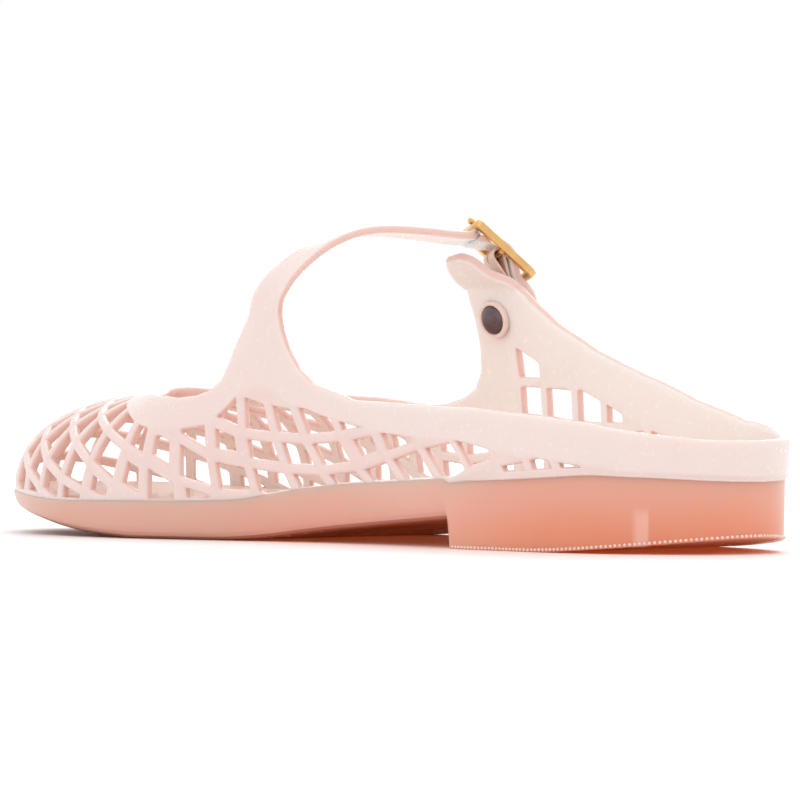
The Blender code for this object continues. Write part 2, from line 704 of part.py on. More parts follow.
along = Vector(buckle_along).normalized()
across = Vector(buckle_across)
across = (across - along * across.dot(along)).normalized()
outward = along.cross(across).normalized()
buckle_at = scaled(buckle_middle)


def from_buckle(down, side, out):
    return buckle_at + along * down + across * side + outward * out


def tube(path, radius, sides, end_scale=1.0):
    """A round bar along a path in one plane, closed at both ends."""
    verts, faces = [], []
    normal = across
    for k, point in enumerate(path):
        onward = (path[min(k + 1, len(path) - 1)] - path[max(k - 1, 0)]).normalized()
        other = onward.cross(normal).normalized()
        size = radius * (end_scale if k == len(path) - 1 else 1.0)
        for i in range(sides):
            angle = 2 * math.pi * i / sides
            verts.append(point + (normal * math.cos(angle) + other * math.sin(angle)) * size)
    for k in range(len(path) - 1):
        for i in range(sides):
            j = (i + 1) % sides
            faces.append([k * sides + i, k * sides + j, (k + 1) * sides + j, (k + 1) * sides + i])
    faces.append(list(reversed(range(sides))))
    faces.append([(len(path) - 1) * sides + i for i in range(sides)])
    return verts, faces


def add_boolean(obj, cutter, operation):
    modifier = obj.modifiers.new(cutter.name, "BOOLEAN")
    modifier.operation = operation
    modifier.solver = "EXACT"
    modifier.object = cutter
    cutter.hide_render = True
    cutter.display_type = "WIRE"


def make_buckle_frame(finish):
    """A rectangular frame with its corners cut, and the axle let into its two side bars."""
    corner = frame_bar * 0.6
    outer_corners = []
    for sx, sy in ((1, 1), (-1, 1), (-1, -1), (1, -1)):
        u, v = buckle_length / 2 * sx, buckle_width / 2 * sy
        first, second = (u, v - corner * sy), (u - corner * sx, v)
        outer_corners += [first, second] if sx * sy > 0 else [second, first]
    inner_corners = [(buckle_length / 2 * sx - frame_bar * sx, buckle_width / 2 * sy - frame_bar * sy)
                     for sx, sy in ((1, 1), (-1, 1), (-1, -1), (1, -1))]
    verts, faces = [], []
    for out in (-frame_depth / 2, frame_depth / 2):
        verts += [from_buckle(u, v, out) for u, v in outer_corners]
        verts += [from_buckle(u, v, out) for u, v in inner_corners]
    for level in (0, 12):
        for i in range(4):
            j = (i + 1) % 4
            faces.append([level + 2 * i, level + 2 * i + 1, level + 8 + i])
            faces.append([level + 2 * i + 1, level + 2 * j, level + 8 + j, level + 8 + i])
    for i in range(8):
        j = (i + 1) % 8
        faces.append([i, j, 12 + j, 12 + i])
    for i in range(4):
        j = (i + 1) % 4
        faces.append([8 + i, 8 + j, 20 + j, 20 + i])
    frame = add_object("buckle_frame", from_lists(verts, faces), finish)
    half = buckle_width / 2 - frame_bar / 2
    sides = 10
    ends = []
    for side in (-half, half):
        ends += [from_buckle(axle_radius * math.cos(2 * math.pi * i / sides), side,
                             axle_radius * math.sin(2 * math.pi * i / sides)) for i in range(sides)]
    faces = [list(range(sides)), list(range(sides, 2 * sides))]
    faces += [[i, (i + 1) % sides, sides + (i + 1) % sides, sides + i] for i in range(sides)]
    axle = add_object("axle_tool", from_lists(ends, faces), None)
    add_boolean(frame, axle, "UNION")
    return frame


def make_prong(finish):
    """An open hook round the axle, then a stem through the strap to the frame's upper bar."""
    bend = axle_radius + gap + prong_radius
    path = [(bend * math.cos(math.radians(a)), bend * math.sin(math.radians(a)))
            for a in range(-60, -301, -40)]
    over = tab_thickness + strap_thickness + axle_radius + 4 * gap + prong_radius * 2
    tip = -buckle_length / 2 + frame_bar * 0.2
    path += [(-bend * 0.55, over * 0.72), (-bend * 1.3, over), (tip * 0.6, over),
             (tip * 0.86, frame_depth / 2 + gap + prong_radius * 2.2),
             (tip - 0.0004, frame_depth / 2 + gap + prong_radius * 1.6)]
    points = [from_buckle(u, 0, o) for u, o in path]
    return add_object("buckle_prong", from_lists(*tube(points, prong_radius, 8, 1.25)), finish)


def panel_line(place):
    """The straight line up the smooth panel at one place, from the lattice to the rim."""
    return on_last(place, table(band_rows, 1, place)), on_last(place, table(rim_rows, 1, place))


panel_step = 0.008
panel_low, panel_high = panel_line(rivet_place)
panel_front, panel_back = panel_line(rivet_place - panel_step), panel_line(rivet_place + panel_step)
panel_across = panel_front[0] + panel_front[1] - panel_back[0] - panel_back[1]
rivet_on = panel_low.lerp(panel_high, rivet_rise)
rivet_out = panel_across.cross(panel_high - panel_low).normalized()
rivet_up = (buckle_at - rivet_on) - rivet_out * (buckle_at - rivet_on).dot(rivet_out)
axle_up, axle_out = rivet_up.length, (buckle_at - rivet_on).dot(rivet_out)
rivet_up.normalize()
rivet_side = rivet_up.cross(rivet_out).normalized()
axle_side = across if across.dot(rivet_side) > 0 else -across


def tab_profile():
    """The tab from the side: up over the cage, round the axle and down again over itself."""
    first, second = [], []
    bend_in = axle_radius + 2 * gap
    bend_out = bend_in + tab_thickness
    low, knee = -rivet_head * 0.85, axle_up * 0.66
    leg_one, leg_two = tab_seat, tab_seat + tab_thickness + gap
    levels = (low, rivet_head, knee)
    lower = [(u, leg_one) for u in levels]
    upper = [(u, leg_two + tab_thickness) for u in levels]
    arc = [math.radians(a) for a in range(-105, 106, 30)]
    first += lower
    first += [(axle_up + bend_out * math.cos(a), axle_out + bend_out * math.sin(a)) for a in arc]
    first += list(reversed(upper))
    second += [(u, leg_two) for u in levels]
    second += [(axle_up + bend_in * math.cos(a), axle_out + bend_in * math.sin(a))
               for a in reversed(arc)]
    second += [(u, leg_one + tab_thickness) for u in reversed(levels)]
    return first, second


def make_tab(finish):
    outer_side, inner_side = tab_profile()
    profile = outer_side + inner_side
    count = len(profile)
    verts = []
    for side in (-tab_width / 2, tab_width / 2):
        for u, o in profile:
            twist = min(max((u - rivet_head) / (axle_up * 0.8 - rivet_head), 0.0), 1.0)
            sideways = rivet_side.lerp(axle_side, twist)
            point = rivet_on + rivet_up * u + rivet_out * o
            point -= across * (point - buckle_at).dot(across) * twist
            verts.append(point + sideways * side)
    half = len(outer_side)
    rungs = list(zip(range(half), [count - 1 - i for i in range(half)]))
    faces = []
    for (a, b), (c, d) in zip(rungs, rungs[1:]):
        faces.append([a, b, d, c])
        faces.append([a + count, c + count, d + count, b + count])
    for i in range(count):
        j = (i + 1) % count
        faces.append([i, j, j + count, i + count])
    return add_object("buckle_tab", from_lists(verts, faces), finish)


def lathe(stations, sides, centre, axis, start):
    other = axis.cross(start).normalized()
    verts, faces = [], []
    for height, radius in stations:
        for i in range(sides):
            angle = 2 * math.pi * i / sides
            verts.append(centre + axis * height
                         + (start * math.cos(angle) + other * math.sin(angle)) * radius)
    for k in range(len(stations) - 1):
        for i in range(sides):
            j = (i + 1) % sides
            faces.append([k * sides + i, k * sides + j, (k + 1) * sides + j, (k + 1) * sides + i])
    faces.append(list(reversed(range(sides))))
    faces.append([(len(stations) - 1) * sides + i for i in range(sides)])
    return from_lists(verts, faces)


rivet_sides = 14
stack_height = tab_seat + 2 * tab_thickness + 2 * gap


def make_rivet(finish):
    inside, outside = -wall - gap, stack_height
    stations = [(inside - rivet_head_height, rivet_head * 0.7),
                (inside - rivet_head_height * 0.45, rivet_head), (inside, rivet_head),
                (inside, rivet_shank), (outside, rivet_shank), (outside, rivet_outer_head),
                (outside + rivet_head_height * 0.5, rivet_outer_head),
                (outside + rivet_head_height, rivet_outer_head * 0.6)]
    bm = lathe(stations, rivet_sides, rivet_on, rivet_out, rivet_up)
    return add_object("rivet", bm, finish)


def make_rivet_tool():
    reach = 3 * wall
    bm = lathe([(-reach, rivet_shank + gap), (reach, rivet_shank + gap)], rivet_sides, rivet_on,
               rivet_out, rivet_up)
    return add_object("rivet_tool", bm, None)


def make_slot_tool(name, downs, outs):
    """A box as wide as the prong and its play, between two places along and out of the buckle."""
    half = prong_radius + gap
    verts = [from_buckle(u, s, o) for u in downs for s in (-half, half) for o in outs]
    faces = [[0, 1, 3, 2], [4, 6, 7, 5], [0, 4, 5, 1], [2, 3, 7, 6], [0, 2, 6, 4], [1, 5, 7, 3]]
    return add_object(name, from_lists(verts, faces), None)


jelly = material("jelly_pvc", (0.93, 0.66, 0.57), 0.28, transmission=0.5)
sole_pvc = material("sole_pvc", (0.88, 0.52, 0.42), 0.35)
footbed = material("footbed", (0.93, 0.70, 0.62), 0.6)
gold = material("gold_plate", (0.85, 0.62, 0.30), 0.22, metallic=1.0)
gunmetal = material("gunmetal", (0.20, 0.17, 0.18), 0.35, metallic=1.0)

upper = make_upper(jelly)
make_outsole(sole_pvc)
make_insole(footbed)
make_buckle_frame(gold)
make_prong(gold)
tab = make_tab(jelly)
make_rivet(gunmetal)
rivet_tool = make_rivet_tool()
add_boolean(upper, rivet_tool, "DIFFERENCE")
add_boolean(tab, rivet_tool, "DIFFERENCE")
bend_reach = axle_radius + 2 * gap + tab_thickness + 2 * prong_radius
add_boolean(tab, make_slot_tool("prong_tool", (-bend_reach * 1.35, bend_reach * 0.9),
                                (-bend_reach, bend_reach * 1.2)), "DIFFERENCE")
strap_reach = bend_reach + strap_thickness
add_boolean(upper, make_slot_tool("slot_tool", (-strap_reach * 0.42, strap_reach * 0.25),
                                  (strap_reach * 0.3, strap_reach * 1.1)), "DIFFERENCE")
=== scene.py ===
import math

import bmesh
import bpy
import numpy as np
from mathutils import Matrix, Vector
from mathutils.geometry import delaunay_2d_cdt


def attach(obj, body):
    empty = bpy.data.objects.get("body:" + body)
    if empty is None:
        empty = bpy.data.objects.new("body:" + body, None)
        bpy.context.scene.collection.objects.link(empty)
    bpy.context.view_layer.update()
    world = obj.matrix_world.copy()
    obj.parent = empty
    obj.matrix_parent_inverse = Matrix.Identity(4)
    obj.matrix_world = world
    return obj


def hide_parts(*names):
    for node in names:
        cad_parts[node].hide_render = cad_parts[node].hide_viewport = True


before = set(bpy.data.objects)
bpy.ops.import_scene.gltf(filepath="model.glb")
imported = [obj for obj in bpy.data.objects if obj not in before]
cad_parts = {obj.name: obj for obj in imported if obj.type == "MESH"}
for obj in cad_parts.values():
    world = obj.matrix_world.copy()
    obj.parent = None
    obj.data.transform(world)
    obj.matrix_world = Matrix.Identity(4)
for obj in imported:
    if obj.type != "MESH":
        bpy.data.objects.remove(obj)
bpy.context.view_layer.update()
print("frame loaded:", ", ".join(sorted(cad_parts)))

# The last: everything here stands in metres from the back of the heel, and is moved back at the end.
lastSizes = {
    "length": 0.250,
    "ballWidth": 0.0815,
    "heelHeight": 0.0172,
    "instepHeight": 0.072,
    "wallReach": 0.058,       # up the cage, from the sole's edge to the throat over the toe
    "originShare": 0.17,      # where the origin lies under the heel
    "throatLift": 0.0016,     # flare of the throat's front edge
    "gap": 0.0003,
}
shoeLength, ballWidth = lastSizes["length"], lastSizes["ballWidth"]
heelHeight, instepHeight = lastSizes["heelHeight"], lastSizes["instepHeight"]
wallReach, throatLift, gap = lastSizes["wallReach"], lastSizes["throatLift"], lastSizes["gap"]

cageSizes = {
    "wall": 0.0022,
    "strand": 0.0026,
    "crest": 0.0003,          # how far a strand's middle stands proud
    "hem": 0.001,             # solid strip below the lattice
    "smallestHole": 0.0026,
    "edgeRound": 0.00038,     # rounding of every hole and rim
    "mergeWithin": 0.0007,    # corners closer than this are one
    "sideBare": 0.0016,       # a side shorter than this has no points between its corners
    "sideHalved": 0.0035,     # up to this it has one
    "sideThree": 0.014,       # and up to this three, two of them near its ends
    "sideStep": 0.0042,       # between the points of a longer side
    "cornerRun": 0.0009,      # from a hole's corner to the first point on its side
    "strapWidth": 0.0096,
    "strapThickness": 0.0019,
    "lobeWidth": 0.0150,
    "fillStep": 3.0,          # mm between points inside the smooth band
    "outerPale": 0.48,        # how pale the band's outer face is
    "innerPale": 0.8,         # and every inner face, which is lit through the wall
    "ownLow": 0.036,          # between these heights the sheet's own normals take over
    "ownHigh": 0.046,
}
hem, strand, wall = cageSizes["hem"], cageSizes["strand"], cageSizes["wall"]
smallestHole = cageSizes["smallestHole"]

# Outline of the sole: share of the length from the heel, then the inner and the outer edge as
# shares of the ball's width.
outlineRows = [
    (0.00, 0.000, 0.000), (0.03, -0.190, 0.190), (0.10, -0.319, 0.319), (0.18, -0.356, 0.362),
    (0.30, -0.337, 0.374), (0.42, -0.313, 0.399), (0.52, -0.344, 0.436), (0.62, -0.429, 0.485),
    (0.70, -0.491, 0.503), (0.78, -0.503, 0.472), (0.86, -0.454, 0.399), (0.93, -0.350, 0.270),
    (0.98, -0.209, 0.098), (1.00, -0.061, -0.061)]

# The sole from the side: share of the length, its upper edge and its underside as shares of the
# heel's height. The heel's front face stands at the two rows near 0.29.
soleRows = [
    (0.000, 0.92, 0.13), (0.020, 0.94, 0.060), (0.050, 0.97, 0.000), (0.110, 1.00, 0.000),
    (0.180, 0.94, 0.000), (0.250, 0.89, 0.000), (0.287, 0.84, 0.000), (0.299, 0.82, 0.385),
    (0.360, 0.77, 0.320), (0.450, 0.70, 0.210), (0.504, 0.62, 0.130), (0.548, 0.52, 0.050),
    (0.600, 0.45, 0.000), (0.700, 0.43, 0.000), (0.740, 0.43, 0.040), (0.790, 0.43, 0.100),
    (0.840, 0.46, 0.190), (0.900, 0.52, 0.290), (0.960, 0.55, 0.360), (1.000, 0.56, 0.390)]

# The top of the last over the middle of the foot: share of the length, share of the instep height.
spineRows = [
    (0.00, 1.80), (0.16, 1.58), (0.32, 1.35), (0.44, 1.17), (0.54, 1.00), (0.62, 0.79),
    (0.68, 0.63), (0.73, 0.52), (0.765, 0.48), (0.80, 0.46), (1.00, 0.44)]
spineSide = -0.025       # the spine's place across, as a share of the ball's width
spineBack = 0.112        # the spine ends this share of the length from the heel
spineFront = 0.768       # and this share, where the toe's sections all meet
spineEase = 0.032        # how softly those two ends are reached
crown = 2.35             # roundness of a section: 2 is an ellipse, more is boxier
liftPlace = 0.20         # the throat's flare is greatest here, round the foot
liftSpread = 0.26        # and dies out this far to either side

# Round the foot, a place is a number from -1 (the heel, inner side) through 0 (the toe tip) to 1
# (the heel, outer side). Up the cage, a height is a share of wallReach along the wall.
rimRows = [
    (-1, 0.145), (-0.91, 0.141), (-0.85, 0.152), (-0.80, 0.172), (-0.718, 0.234),
    (-0.631, 0.293), (-0.54, 0.347), (-0.505, 0.436), (-0.492, 0.509), (-0.481, 0.603),
    (-0.473, 0.690), (-0.468, 0.759), (-0.4405, 0.776), (-0.4385, 0.670), (-0.4370, 0.580),
    (-0.434, 0.510), (-0.427, 0.469), (-0.416, 0.450), (-0.399, 0.447), (-0.371, 0.488),
    (-0.338, 0.586), (-0.30, 0.695), (-0.26, 0.768), (-0.20, 0.842), (-0.15, 0.902),
    (-0.08, 0.966), (0, 0.990), (0.08, 0.966), (0.15, 0.902), (0.20, 0.842), (0.26, 0.768),
    (0.30, 0.695), (0.338, 0.586), (0.371, 0.488), (0.399, 0.440), (0.416, 0.417),
    (0.437, 0.400), (0.453, 0.397), (0.472, 0.410), (0.486, 0.438), (0.4935, 0.500),
    (0.4965, 0.586), (0.498, 0.690), (0.499, 0.828), (0.541, 0.819), (0.552, 0.741),
    (0.57, 0.645), (0.605, 0.524), (0.652, 0.402), (0.702, 0.288), (0.765, 0.193),
    (0.856, 0.148), (1, 0.145)]

# Where the lattice ends below the smooth band.
bandRows = [
    (-1, 0), (-0.82, 0), (-0.802, 0.021), (-0.758, 0.053), (-0.731, 0.083), (-0.709, 0.095),
    (-0.676, 0.128), (-0.638, 0.179), (-0.60, 0.198), (-0.561, 0.231), (-0.523, 0.295),
    (-0.489, 0.383), (-0.468, 0.474), (-0.4575, 0.592), (-0.45, 0.457), (-0.438, 0.360),
    (-0.429, 0.338), (-0.407, 0.321), (-0.385, 0.326), (-0.367, 0.357), (-0.338, 0.453),
    (-0.30, 0.569), (-0.26, 0.645), (-0.20, 0.722), (-0.15, 0.775), (-0.08, 0.832), (0, 0.848),
    (0.08, 0.832), (0.15, 0.775), (0.20, 0.722), (0.26, 0.645), (0.30, 0.569), (0.338, 0.453),
    (0.367, 0.357), (0.385, 0.326), (0.407, 0.303), (0.437, 0.276), (0.47, 0.269),
    (0.497, 0.272), (0.523, 0.279), (0.5275, 0.591), (0.547, 0.522), (0.578, 0.417),
    (0.601, 0.353), (0.63, 0.272), (0.647, 0.214), (0.666, 0.174), (0.679, 0.145),
    (0.70, 0.121), (0.73, 0.086), (0.76, 0.052), (0.79, 0), (1, 0)]

# Steep strands: place at the sole, place at the band, and the height at which it gets there.
uprightRows = [
    (-0.96, -0.96, 1), (-0.91, -0.91, 1), (-0.86, -0.86, 1), (-0.82, -0.82, 1),
    (-0.785, -0.78, 0.05), (-0.757, -0.748, 0.07), (-0.727, -0.718, 0.09),
    (-0.697, -0.683, 0.12), (-0.667, -0.638, 0.17), (-0.632, -0.600, 0.20),
    (-0.595, -0.561, 0.22), (-0.563, -0.523, 0.29), (-0.529, -0.489, 0.38),
    (-0.499, -0.468, 0.48), (-0.469, -0.450, 0.46), (-0.442, -0.430, 0.34),
    (-0.413, -0.407, 0.32), (-0.386, -0.384, 0.33), (-0.357, -0.367, 0.36),
    (-0.327, -0.335, 0.45), (-0.298, -0.300, 0.57), (-0.265, -0.262, 0.66),
    (-0.228, -0.222, 0.72), (-0.185, -0.180, 0.78), (-0.135, -0.128, 0.82),
    (-0.075, -0.070, 0.85), (0, 0, 1), (0.075, 0.070, 0.85), (0.135, 0.128, 0.82),
    (0.185, 0.180, 0.78), (0.228, 0.222, 0.72), (0.265, 0.262, 0.66), (0.298, 0.300, 0.57),
    (0.327, 0.335, 0.45), (0.357, 0.367, 0.36), (0.386, 0.384, 0.33), (0.413, 0.407, 0.32),
    (0.442, 0.437, 0.28), (0.470, 0.467, 0.27), (0.500, 0.499, 0.28), (0.5225, 0.5225, 1),
    (0.5275, 0.5275, 1), (0.553, 0.553, 1), (0.583, 0.583, 1), (0.611, 0.611, 1),
    (0.632, 0.632, 1), (0.654, 0.654, 1), (0.678, 0.678, 1), (0.703, 0.703, 1),
    (0.730, 0.730, 1), (0.757, 0.757, 1), (0.79, 0.79, 1), (0.83, 0.83, 1), (0.87, 0.87, 1),
    (0.92, 0.92, 1), (0.96, 0.96, 1)]
uprightBow = 0.75        # below 1 a steep strand turns sooner, near the sole

# Long strands, lowest first: place round the foot and height. The first five run round the toe
# alike on both sides, and are given for one side from the toe tip.
toeStrands = [
    [(0, 0.160), (0.08, 0.138), (0.15, 0.078), (0.20, 0.017), (0.26, -0.08), (1, -0.60)],
    [(0, 0.316), (0.08, 0.293), (0.15, 0.224), (0.20, 0.155), (0.247, 0.078), (0.29, 0.000),
     (0.325, -0.07), (1, -0.55)],
    [(0, 0.474), (0.08, 0.448), (0.15, 0.379), (0.20, 0.302), (0.247, 0.210), (0.281, 0.133),
     (0.319, 0.071), (0.35, 0.017), (0.385, -0.05), (1, -0.50)],
    [(0, 0.638), (0.08, 0.612), (0.15, 0.543), (0.20, 0.474), (0.26, 0.362), (0.294, 0.281),
     (0.324, 0.195), (0.354, 0.100), (0.382, 0.017), (0.42, -0.05), (1, -0.45)],
    [(0, 0.793), (0.08, 0.767), (0.15, 0.707), (0.20, 0.638), (0.26, 0.517), (0.30, 0.422),
     (0.341, 0.309), (0.361, 0.255), (0.388, 0.176), (0.411, 0.102), (0.439, 0.048),
     (0.466, 0.021), (0.50, -0.01), (0.55, -0.05), (1, -0.40)]]
heelStrand = [(-1, 0.155), (-0.76, 0.107), (-0.719, 0.081), (-0.685, 0.064), (-0.654, 0.022),
               (-0.632, 0.0), (-0.60, -0.03), (-0.55, -0.045), (0, -1.0), (0.6, -0.30), (1, -0.30)]
sideStrands = [
    [(-1, 0.26), (-0.76, 0.224), (-0.637, 0.179), (-0.599, 0.157), (-0.571, 0.119),
     (-0.551, 0.090), (-0.512, 0.086), (-0.486, 0.117), (-0.456, 0.169), (-0.433, 0.203),
     (-0.417, 0.252), (-0.408, 0.283), (-0.393, 0.317), (-0.37, 0.40), (-0.30, 0.80),
     (0, 1.4), (0.30, 0.80), (0.37, 0.40), (0.393, 0.317), (0.408, 0.276), (0.417, 0.245),
     (0.433, 0.197), (0.456, 0.162), (0.486, 0.143), (0.53, 0.141), (0.57, 0.126),
     (0.61, 0.103), (0.66, 0.086), (0.76, 0.060), (1, 0.060)],
    [(-1, 0.41), (-0.60, 0.276), (-0.558, 0.234), (-0.541, 0.222), (-0.524, 0.209),
     (-0.504, 0.217), (-0.476, 0.253), (-0.45, 0.290), (-0.436, 0.329), (-0.42, 0.40),
     (-0.37, 0.90), (0, 1.7), (0.37, 0.90), (0.42, 0.40), (0.436, 0.310), (0.45, 0.293),
     (0.476, 0.286), (0.527, 0.283), (0.55, 0.266), (0.57, 0.241), (0.60, 0.221),
     (0.63, 0.210), (0.70, 0.207), (1, 0.345)],
    [(-1, 0.59), (-0.52, 0.345), (-0.489, 0.372), (-0.468, 0.414), (-0.45, 0.460),
     (-0.43, 0.600), (-0.37, 1.2), (0, 2.0), (0.37, 1.2), (0.43, 0.60), (0.45, 0.466),
     (0.48, 0.438), (0.527, 0.431), (0.547, 0.421), (0.57, 0.400), (0.60, 0.388),
     (0.70, 0.414), (1, 0.59)]]

# The strap's outer face from the inner side of the cage up to the buckle: its middle as shares of
# ball width, length and instep height, then its width as a share of strapWidth.
strapRows = [
    (-0.324, 0.5440, 0.831, 1.05), (-0.270, 0.5340, 0.906, 1.0),
    (-0.190, 0.5256, 0.969, 1.0), (-0.098, 0.5156, 1.007, 1.0), (0.000, 0.5048, 1.014, 1.0),
    (0.098, 0.4952, 1.006, 1.0), (0.184, 0.4892, 0.996, 1.0), (0.262, 0.4872, 0.990, 1.0)]
# Its end, through the buckle and past it: down along the buckle, across it and out from it as
# shares of buckleLength, then the width again.
strapEndRows = [
    (-0.374, 0.000, -0.072, 1.0), (-0.257, 0.000, 0.010, 1.0), (-0.123, 0.000, 0.100, 1.0),
    (0.091, 0.000, 0.116, 1.0), (0.257, 0.005, 0.010, 1.0), (0.374, 0.016, -0.070, 1.0),
    (0.503, 0.037, -0.078, 1.0), (0.674, 0.112, -0.112, 1.0), (0.856, 0.246, -0.241, 0.96),
    (0.995, 0.364, -0.337, 0.55)]
# The lobe on the outer side that carries the rivet, as shares in the same way, its width of
# lobeWidth.
lobeRows = [
    (0.292, 0.4840, 0.860, 1.0), (0.252, 0.4890, 0.908, 0.77), (0.226, 0.4920, 0.928, 0.40)]

# The buckle: its middle in the same shares, and the directions along and across it.
buckleMiddle = (0.337, 0.4724, 0.931)
buckleAlong = (0.600, -0.427, -0.678)
buckleAcross = (0.446, 0.880, -0.157)
# The rivet: its place round the foot, and its share of the way up the smooth panel there.
rivetPlace = 0.5175
rivetRise = 0.78


def table(rows, column, x):
    return float(np.interp(x, [row[0] for row in rows], [row[column] for row in rows]))


def turnOf(share):   # a share of the length as a share of half a turn, which rounds off both ends
    return math.acos(1 - 2 * share) / math.pi


def naturalSpline(xs, ys):
    count = len(xs)
    step = np.diff(xs)
    lhs = np.zeros((count, count))
    rhs = np.zeros(count)
    lhs[0, 0] = lhs[-1, -1] = 1
    for i in range(1, count - 1):
        lhs[i, i - 1], lhs[i, i], lhs[i, i + 1] = step[i - 1], 2 * (step[i - 1] + step[i]), step[i]
        rhs[i] = 6 * ((ys[i + 1] - ys[i]) / step[i] - (ys[i] - ys[i - 1]) / step[i - 1])
    bend = np.linalg.solve(lhs, rhs)

    def value(x):
        i = min(max(int(np.searchsorted(xs, x)) - 1, 0), count - 2)
        after, before, width = x - xs[i], xs[i + 1] - x, step[i]
        return ((bend[i] * before ** 3 + bend[i + 1] * after ** 3) / (6 * width)
                + (ys[i] / width - bend[i] * width / 6) * before
                + (ys[i + 1] / width - bend[i + 1] * width / 6) * after)
    return value


turns = np.array([turnOf(row[0]) for row in outlineRows])
innerEdge = naturalSpline(turns, np.array([row[1] for row in outlineRows]))
outerEdge = naturalSpline(turns, np.array([row[2] for row in outlineRows]))


def outline(place):   # a point of the sole's outline, seen from above
    turn = 1 - abs(place)
    y = shoeLength * (1 - math.cos(math.pi * turn)) / 2
    edge = innerEdge if place < 0 else outerEdge
    return Vector((ballWidth * edge(turn), y, 0))


def insetOutline(place, inset):
    step = 0.004
    here = outline(place)
    ahead = outline(place + step if place + step <= 1 else place + step - 2)
    behind = outline(place - step if place - step >= -1 else place - step + 2)
    along = (ahead - behind).normalized()
    return here + Vector((-along.y, along.x, 0)) * -inset


def soleTop(y):
    return heelHeight * table(soleRows, 1, y / shoeLength)


def softLeast(a, b, ease):
    return -ease * math.log(math.exp(-a / ease) + math.exp(-b / ease))


def spine(y):
    share = softLeast(y / shoeLength, spineFront, spineEase)
    share = -softLeast(-share, -spineBack, spineEase)
    height = instepHeight * table(spineRows, 1, share)
    return Vector((ballWidth * spineSide, share * shoeLength, height))


meridianSteps = 40
meridianCache = {}


def meridian(place):   # the outer face from the sole's edge up to the spine, and its running length
    key = round(place, 5)
    if key not in meridianCache:
        low = outline(place)
        low.z = soleTop(low.y) + gap
        high = spine(low.y)
        points = []
        for i in range(meridianSteps + 1):
            angle = math.pi / 2 * i / meridianSteps
            inward = 1 - max(math.cos(angle), 0) ** (2 / crown)
            upward = math.sin(angle) ** (2 / crown)
            points.append((low.x + (high.x - low.x) * inward, low.y + (high.y - low.y) * inward,
                           low.z + (high.z - low.z) * upward))
        points = np.array(points)
        steps = np.linalg.norm(np.diff(points, axis=0), axis=1)
        meridianCache[key] = (points, np.concatenate([[0], np.cumsum(steps)]))
    return meridianCache[key]


def onLast(place, reach):
    points, length = meridian(place)
    point = Vector([float(np.interp(reach * wallReach, length, points[:, i])) for i in range(3)])
    roundThroat = max(0.0, 1 - ((place - liftPlace) / liftSpread) ** 2)
    nearRim = min(max((reach - 0.5) / 0.5, 0.0), 1.0)
    point.z += throatLift * roundThroat * nearRim ** 1.5
    return point


def lastNormal(place, reach):
    step = 0.006
    across = onLast(min(place + step, 1), reach) - onLast(max(place - step, -1), reach)
    reach = max(reach, step)
    upward = onLast(place, reach + step) - onLast(place, reach - step)
    return upward.cross(across).normalized()


def upright(row, reach):
    foot, top, topReach = row
    return foot + (top - foot) * min(max(reach, 0) / topReach, 1) ** uprightBow


def clip(polygon, value, label):   # keeps the part of a polygon where value(place, reach) is positive
    kept = []
    for i, (point, edge) in enumerate(polygon):
        after = polygon[(i + 1) % len(polygon)][0]
        here, there = value(*point), value(*after)
        if here >= 0:
            kept.append((point, edge))
        if (here >= 0) != (there >= 0):
            k = here / (here - there)
            cut = tuple(p + (q - p) * k for p, q in zip(point, after))
            kept.append((cut, label if here >= 0 else edge))
    return kept


def cornersOnly(polygon):   # drops the points inside one side, so that each side of a cell is one edge
    return [item for i, item in enumerate(polygon) if polygon[i - 1][1] != item[1]]


def twoSided(rows):
    return [(-place, reach) for place, reach in reversed(rows[1:])] + rows


longStrands = [twoSided(rows) for rows in toeStrands] + sideStrands
uprightSamples = [0.0, 0.008, 0.03, 0.07, 0.12, 0.18, 0.25, 0.33, 0.42, 0.52, 0.64, 0.78, 0.95, 1.1]


def cellPolygons():   # every cell of the cage as (place, reach) corners, and whether it may be open
    hemReach = hem / wallReach
    band = lambda place: max(table(bandRows, 1, place), hemReach)
    rows = uprightRows + [(1, 1, 1)]
    cells = []
    left = (-1, -1, 1)
    for right in rows:
        column = [((upright(left, r), r), "left") for r in reversed(uprightSamples)]
        column += [((upright(right, r), r), "right") for r in uprightSamples]
        column[len(uprightSamples) - 1] = (column[len(uprightSamples) - 1][0], "foot")
        column[-1] = (column[-1][0], "top")
        chordLeft = chordPoint(left, band)
        chordRight = chordPoint(right, band)

        def underBand(place, reach):
            return lineHeight(chordLeft, chordRight, place) - reach

        lattice = clip(column, lambda place, reach: reach - hemReach, "hem")
        lattice = clip(lattice, underBand, "band")
        cuts = sortedCuts(left, right)
        openCells = []
        for i in range(len(cuts) + 1):
            cell = lattice
            if i > 0:
                cell = clip(cell, above(cuts[i - 1]), "long below")
            if i < len(cuts) and cell:
                cell = clip(cell, below(cuts[i]), "long above")
            cell = cornersOnly(cell)
            if len(cell) >= 3:
                openCells.append(cell)
        corners = [point for cell in openCells for point, _ in cell]
        onHem = endsBetween(corners, lambda point: point[1] - hemReach)
        onBand = endsBetween(corners, lambda point: underBand(*point))
        cells += [(cell, True) for cell in openCells]
        cells.append((hemStrip(left, right, hemReach, onHem), False))
        cells.append((bandStrip(chordLeft, chordRight, left, right, onBand), False))
        left = right
    return cells


def crossing(row, heightAt):   # the reach at which a steep strand meets a long line
    low, high = -1.0, 1.6
    for _ in range(40):
        middle = (low + high) / 2
        if heightAt(upright(row, middle)) > middle:
            low = middle
        else:
            high = middle
    return (low + high) / 2


def chordPoint(row, heightAt):
    reach = crossing(row, heightAt)
    return (upright(row, reach), reach)


def lineHeight(a, b, place):
    if abs(b[0] - a[0]) < 1e-9:
        return a[1]
    return a[1] + (b[1] - a[1]) * (place - a[0]) / (b[0] - a[0])


